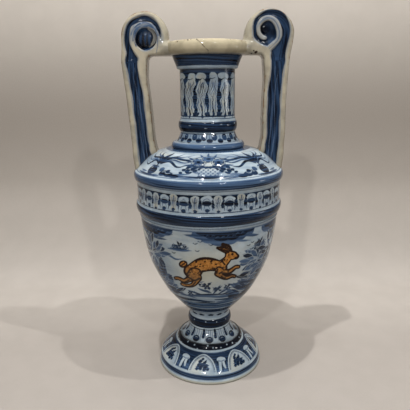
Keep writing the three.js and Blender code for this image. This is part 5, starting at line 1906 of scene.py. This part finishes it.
class VaseSizes(bpy.types.PropertyGroup):
    """The sizes that a user would change."""

    floor_depth: bpy.props.FloatProperty(
        name="Floor depth", description="How far the floor runs flat behind the axis", default=0.19,
        min=0.1, unit="LENGTH")
    wall_distance: bpy.props.FloatProperty(
        name="Wall distance", description="How far the backdrop stands behind the axis",
        default=0.35, min=0.2, unit="LENGTH")
    lamp_power: bpy.props.FloatProperty(
        name="Lamp power", description="Power of the large softbox", default=2.5, min=0.0,
        unit="POWER")


def glazes(context):
    """The three glazes, made once and shared by all pieces."""
    colours = context.scene.vase_colours
    names = ("bluish_white_tin_glaze", "cobalt_brushed_tin_glaze", "cream_tin_glaze")
    grounds = ((colours.ground, colours.shaded), (colours.ground, colours.shaded),
               (colours.cream, colours.cream_thin))
    return [
        bpy.data.materials.get(name) or glaze_material(name, thick, thinned, colours.warm, colours)
        for name, (thick, thinned) in zip(names, grounds)
    ]


class VASE_OT_foot(bpy.types.Operator):
    """Build the foot, the cone and the ring above it"""

    bl_idname = "vase.foot"
    bl_label = "Foot"

    def execute(self, context):
        white, dark, _ = glazes(context)
        build_foot(white, dark)
        return {"FINISHED"}


class VASE_OT_body(bpy.types.Operator):
    """Build the belly, the frieze and the shoulder"""

    bl_idname = "vase.body"
    bl_label = "Body"

    def execute(self, context):
        build_body(glazes(context)[0])
        return {"FINISHED"}


class VASE_OT_neck(bpy.types.Operator):
    """Build the collar, the neck, the capital and the rim"""

    bl_idname = "vase.neck"
    bl_label = "Neck"

    def execute(self, context):
        build_neck(*glazes(context))
        return {"FINISHED"}


class VASE_OT_handles(bpy.types.Operator):
    """Build both straps and both scrolls"""

    bl_idname = "vase.handles"
    bl_label = "Handles"

    def execute(self, context):
        cream = glazes(context)[2]
        for side in ("left", "right"):
            strap_piece(side, cream)
            scroll_piece(side, cream)
        return {"FINISHED"}


class VASE_OT_stage(bpy.types.Operator):
    """Build the backdrop, the camera and the lamps"""

    bl_idname = "vase.stage"
    bl_label = "Stage"

    def execute(self, context):
        build_stage(context.scene.vase_sizes, context.scene.vase_colours)
        return {"FINISHED"}


OPERATORS = (VASE_OT_foot, VASE_OT_body, VASE_OT_neck, VASE_OT_handles, VASE_OT_stage)


class VASE_PT_panel(bpy.types.Panel):
    """Lists the vase's operators, sizes and colours in the sidebar"""

    bl_idname = "VASE_PT_panel"
    bl_label = "Amphora vase"
    bl_space_type = "VIEW_3D"
    bl_region_type = "UI"
    bl_category = "Vase"

    def draw(self, context):
        for operator in OPERATORS:
            self.layout.operator(operator.bl_idname)
        for group in (context.scene.vase_sizes, context.scene.vase_colours):
            for name in group.bl_rna.properties.keys():
                if name not in ("rna_type", "name"):
                    self.layout.prop(group, name)


CLASSES = (VaseColours, VaseSizes, *OPERATORS, VASE_PT_panel)


def register():
    """Registers the classes and the two groups of properties."""
    for kind in CLASSES:
        bpy.utils.register_class(kind)
    bpy.types.Scene.vase_colours = bpy.props.PointerProperty(type=VaseColours)
    bpy.types.Scene.vase_sizes = bpy.props.PointerProperty(type=VaseSizes)


def unregister():
    """Takes them out again."""
    del bpy.types.Scene.vase_sizes
    del bpy.types.Scene.vase_colours
    for kind in reversed(CLASSES):
        bpy.utils.unregister_class(kind)


def main():
    """Builds everything in order."""
    register()
    bpy.ops.vase.stage()
    bpy.ops.vase.foot()
    bpy.ops.vase.body()
    bpy.ops.vase.neck()
    bpy.ops.vase.handles()
    {"cad": plain(cad_box), "visual": plain(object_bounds())}


def plain(box):
    """A box as lists of numbers."""
    return [[float(v) for v in corner] for corner in box]


if __name__ == "__main__":
    main()
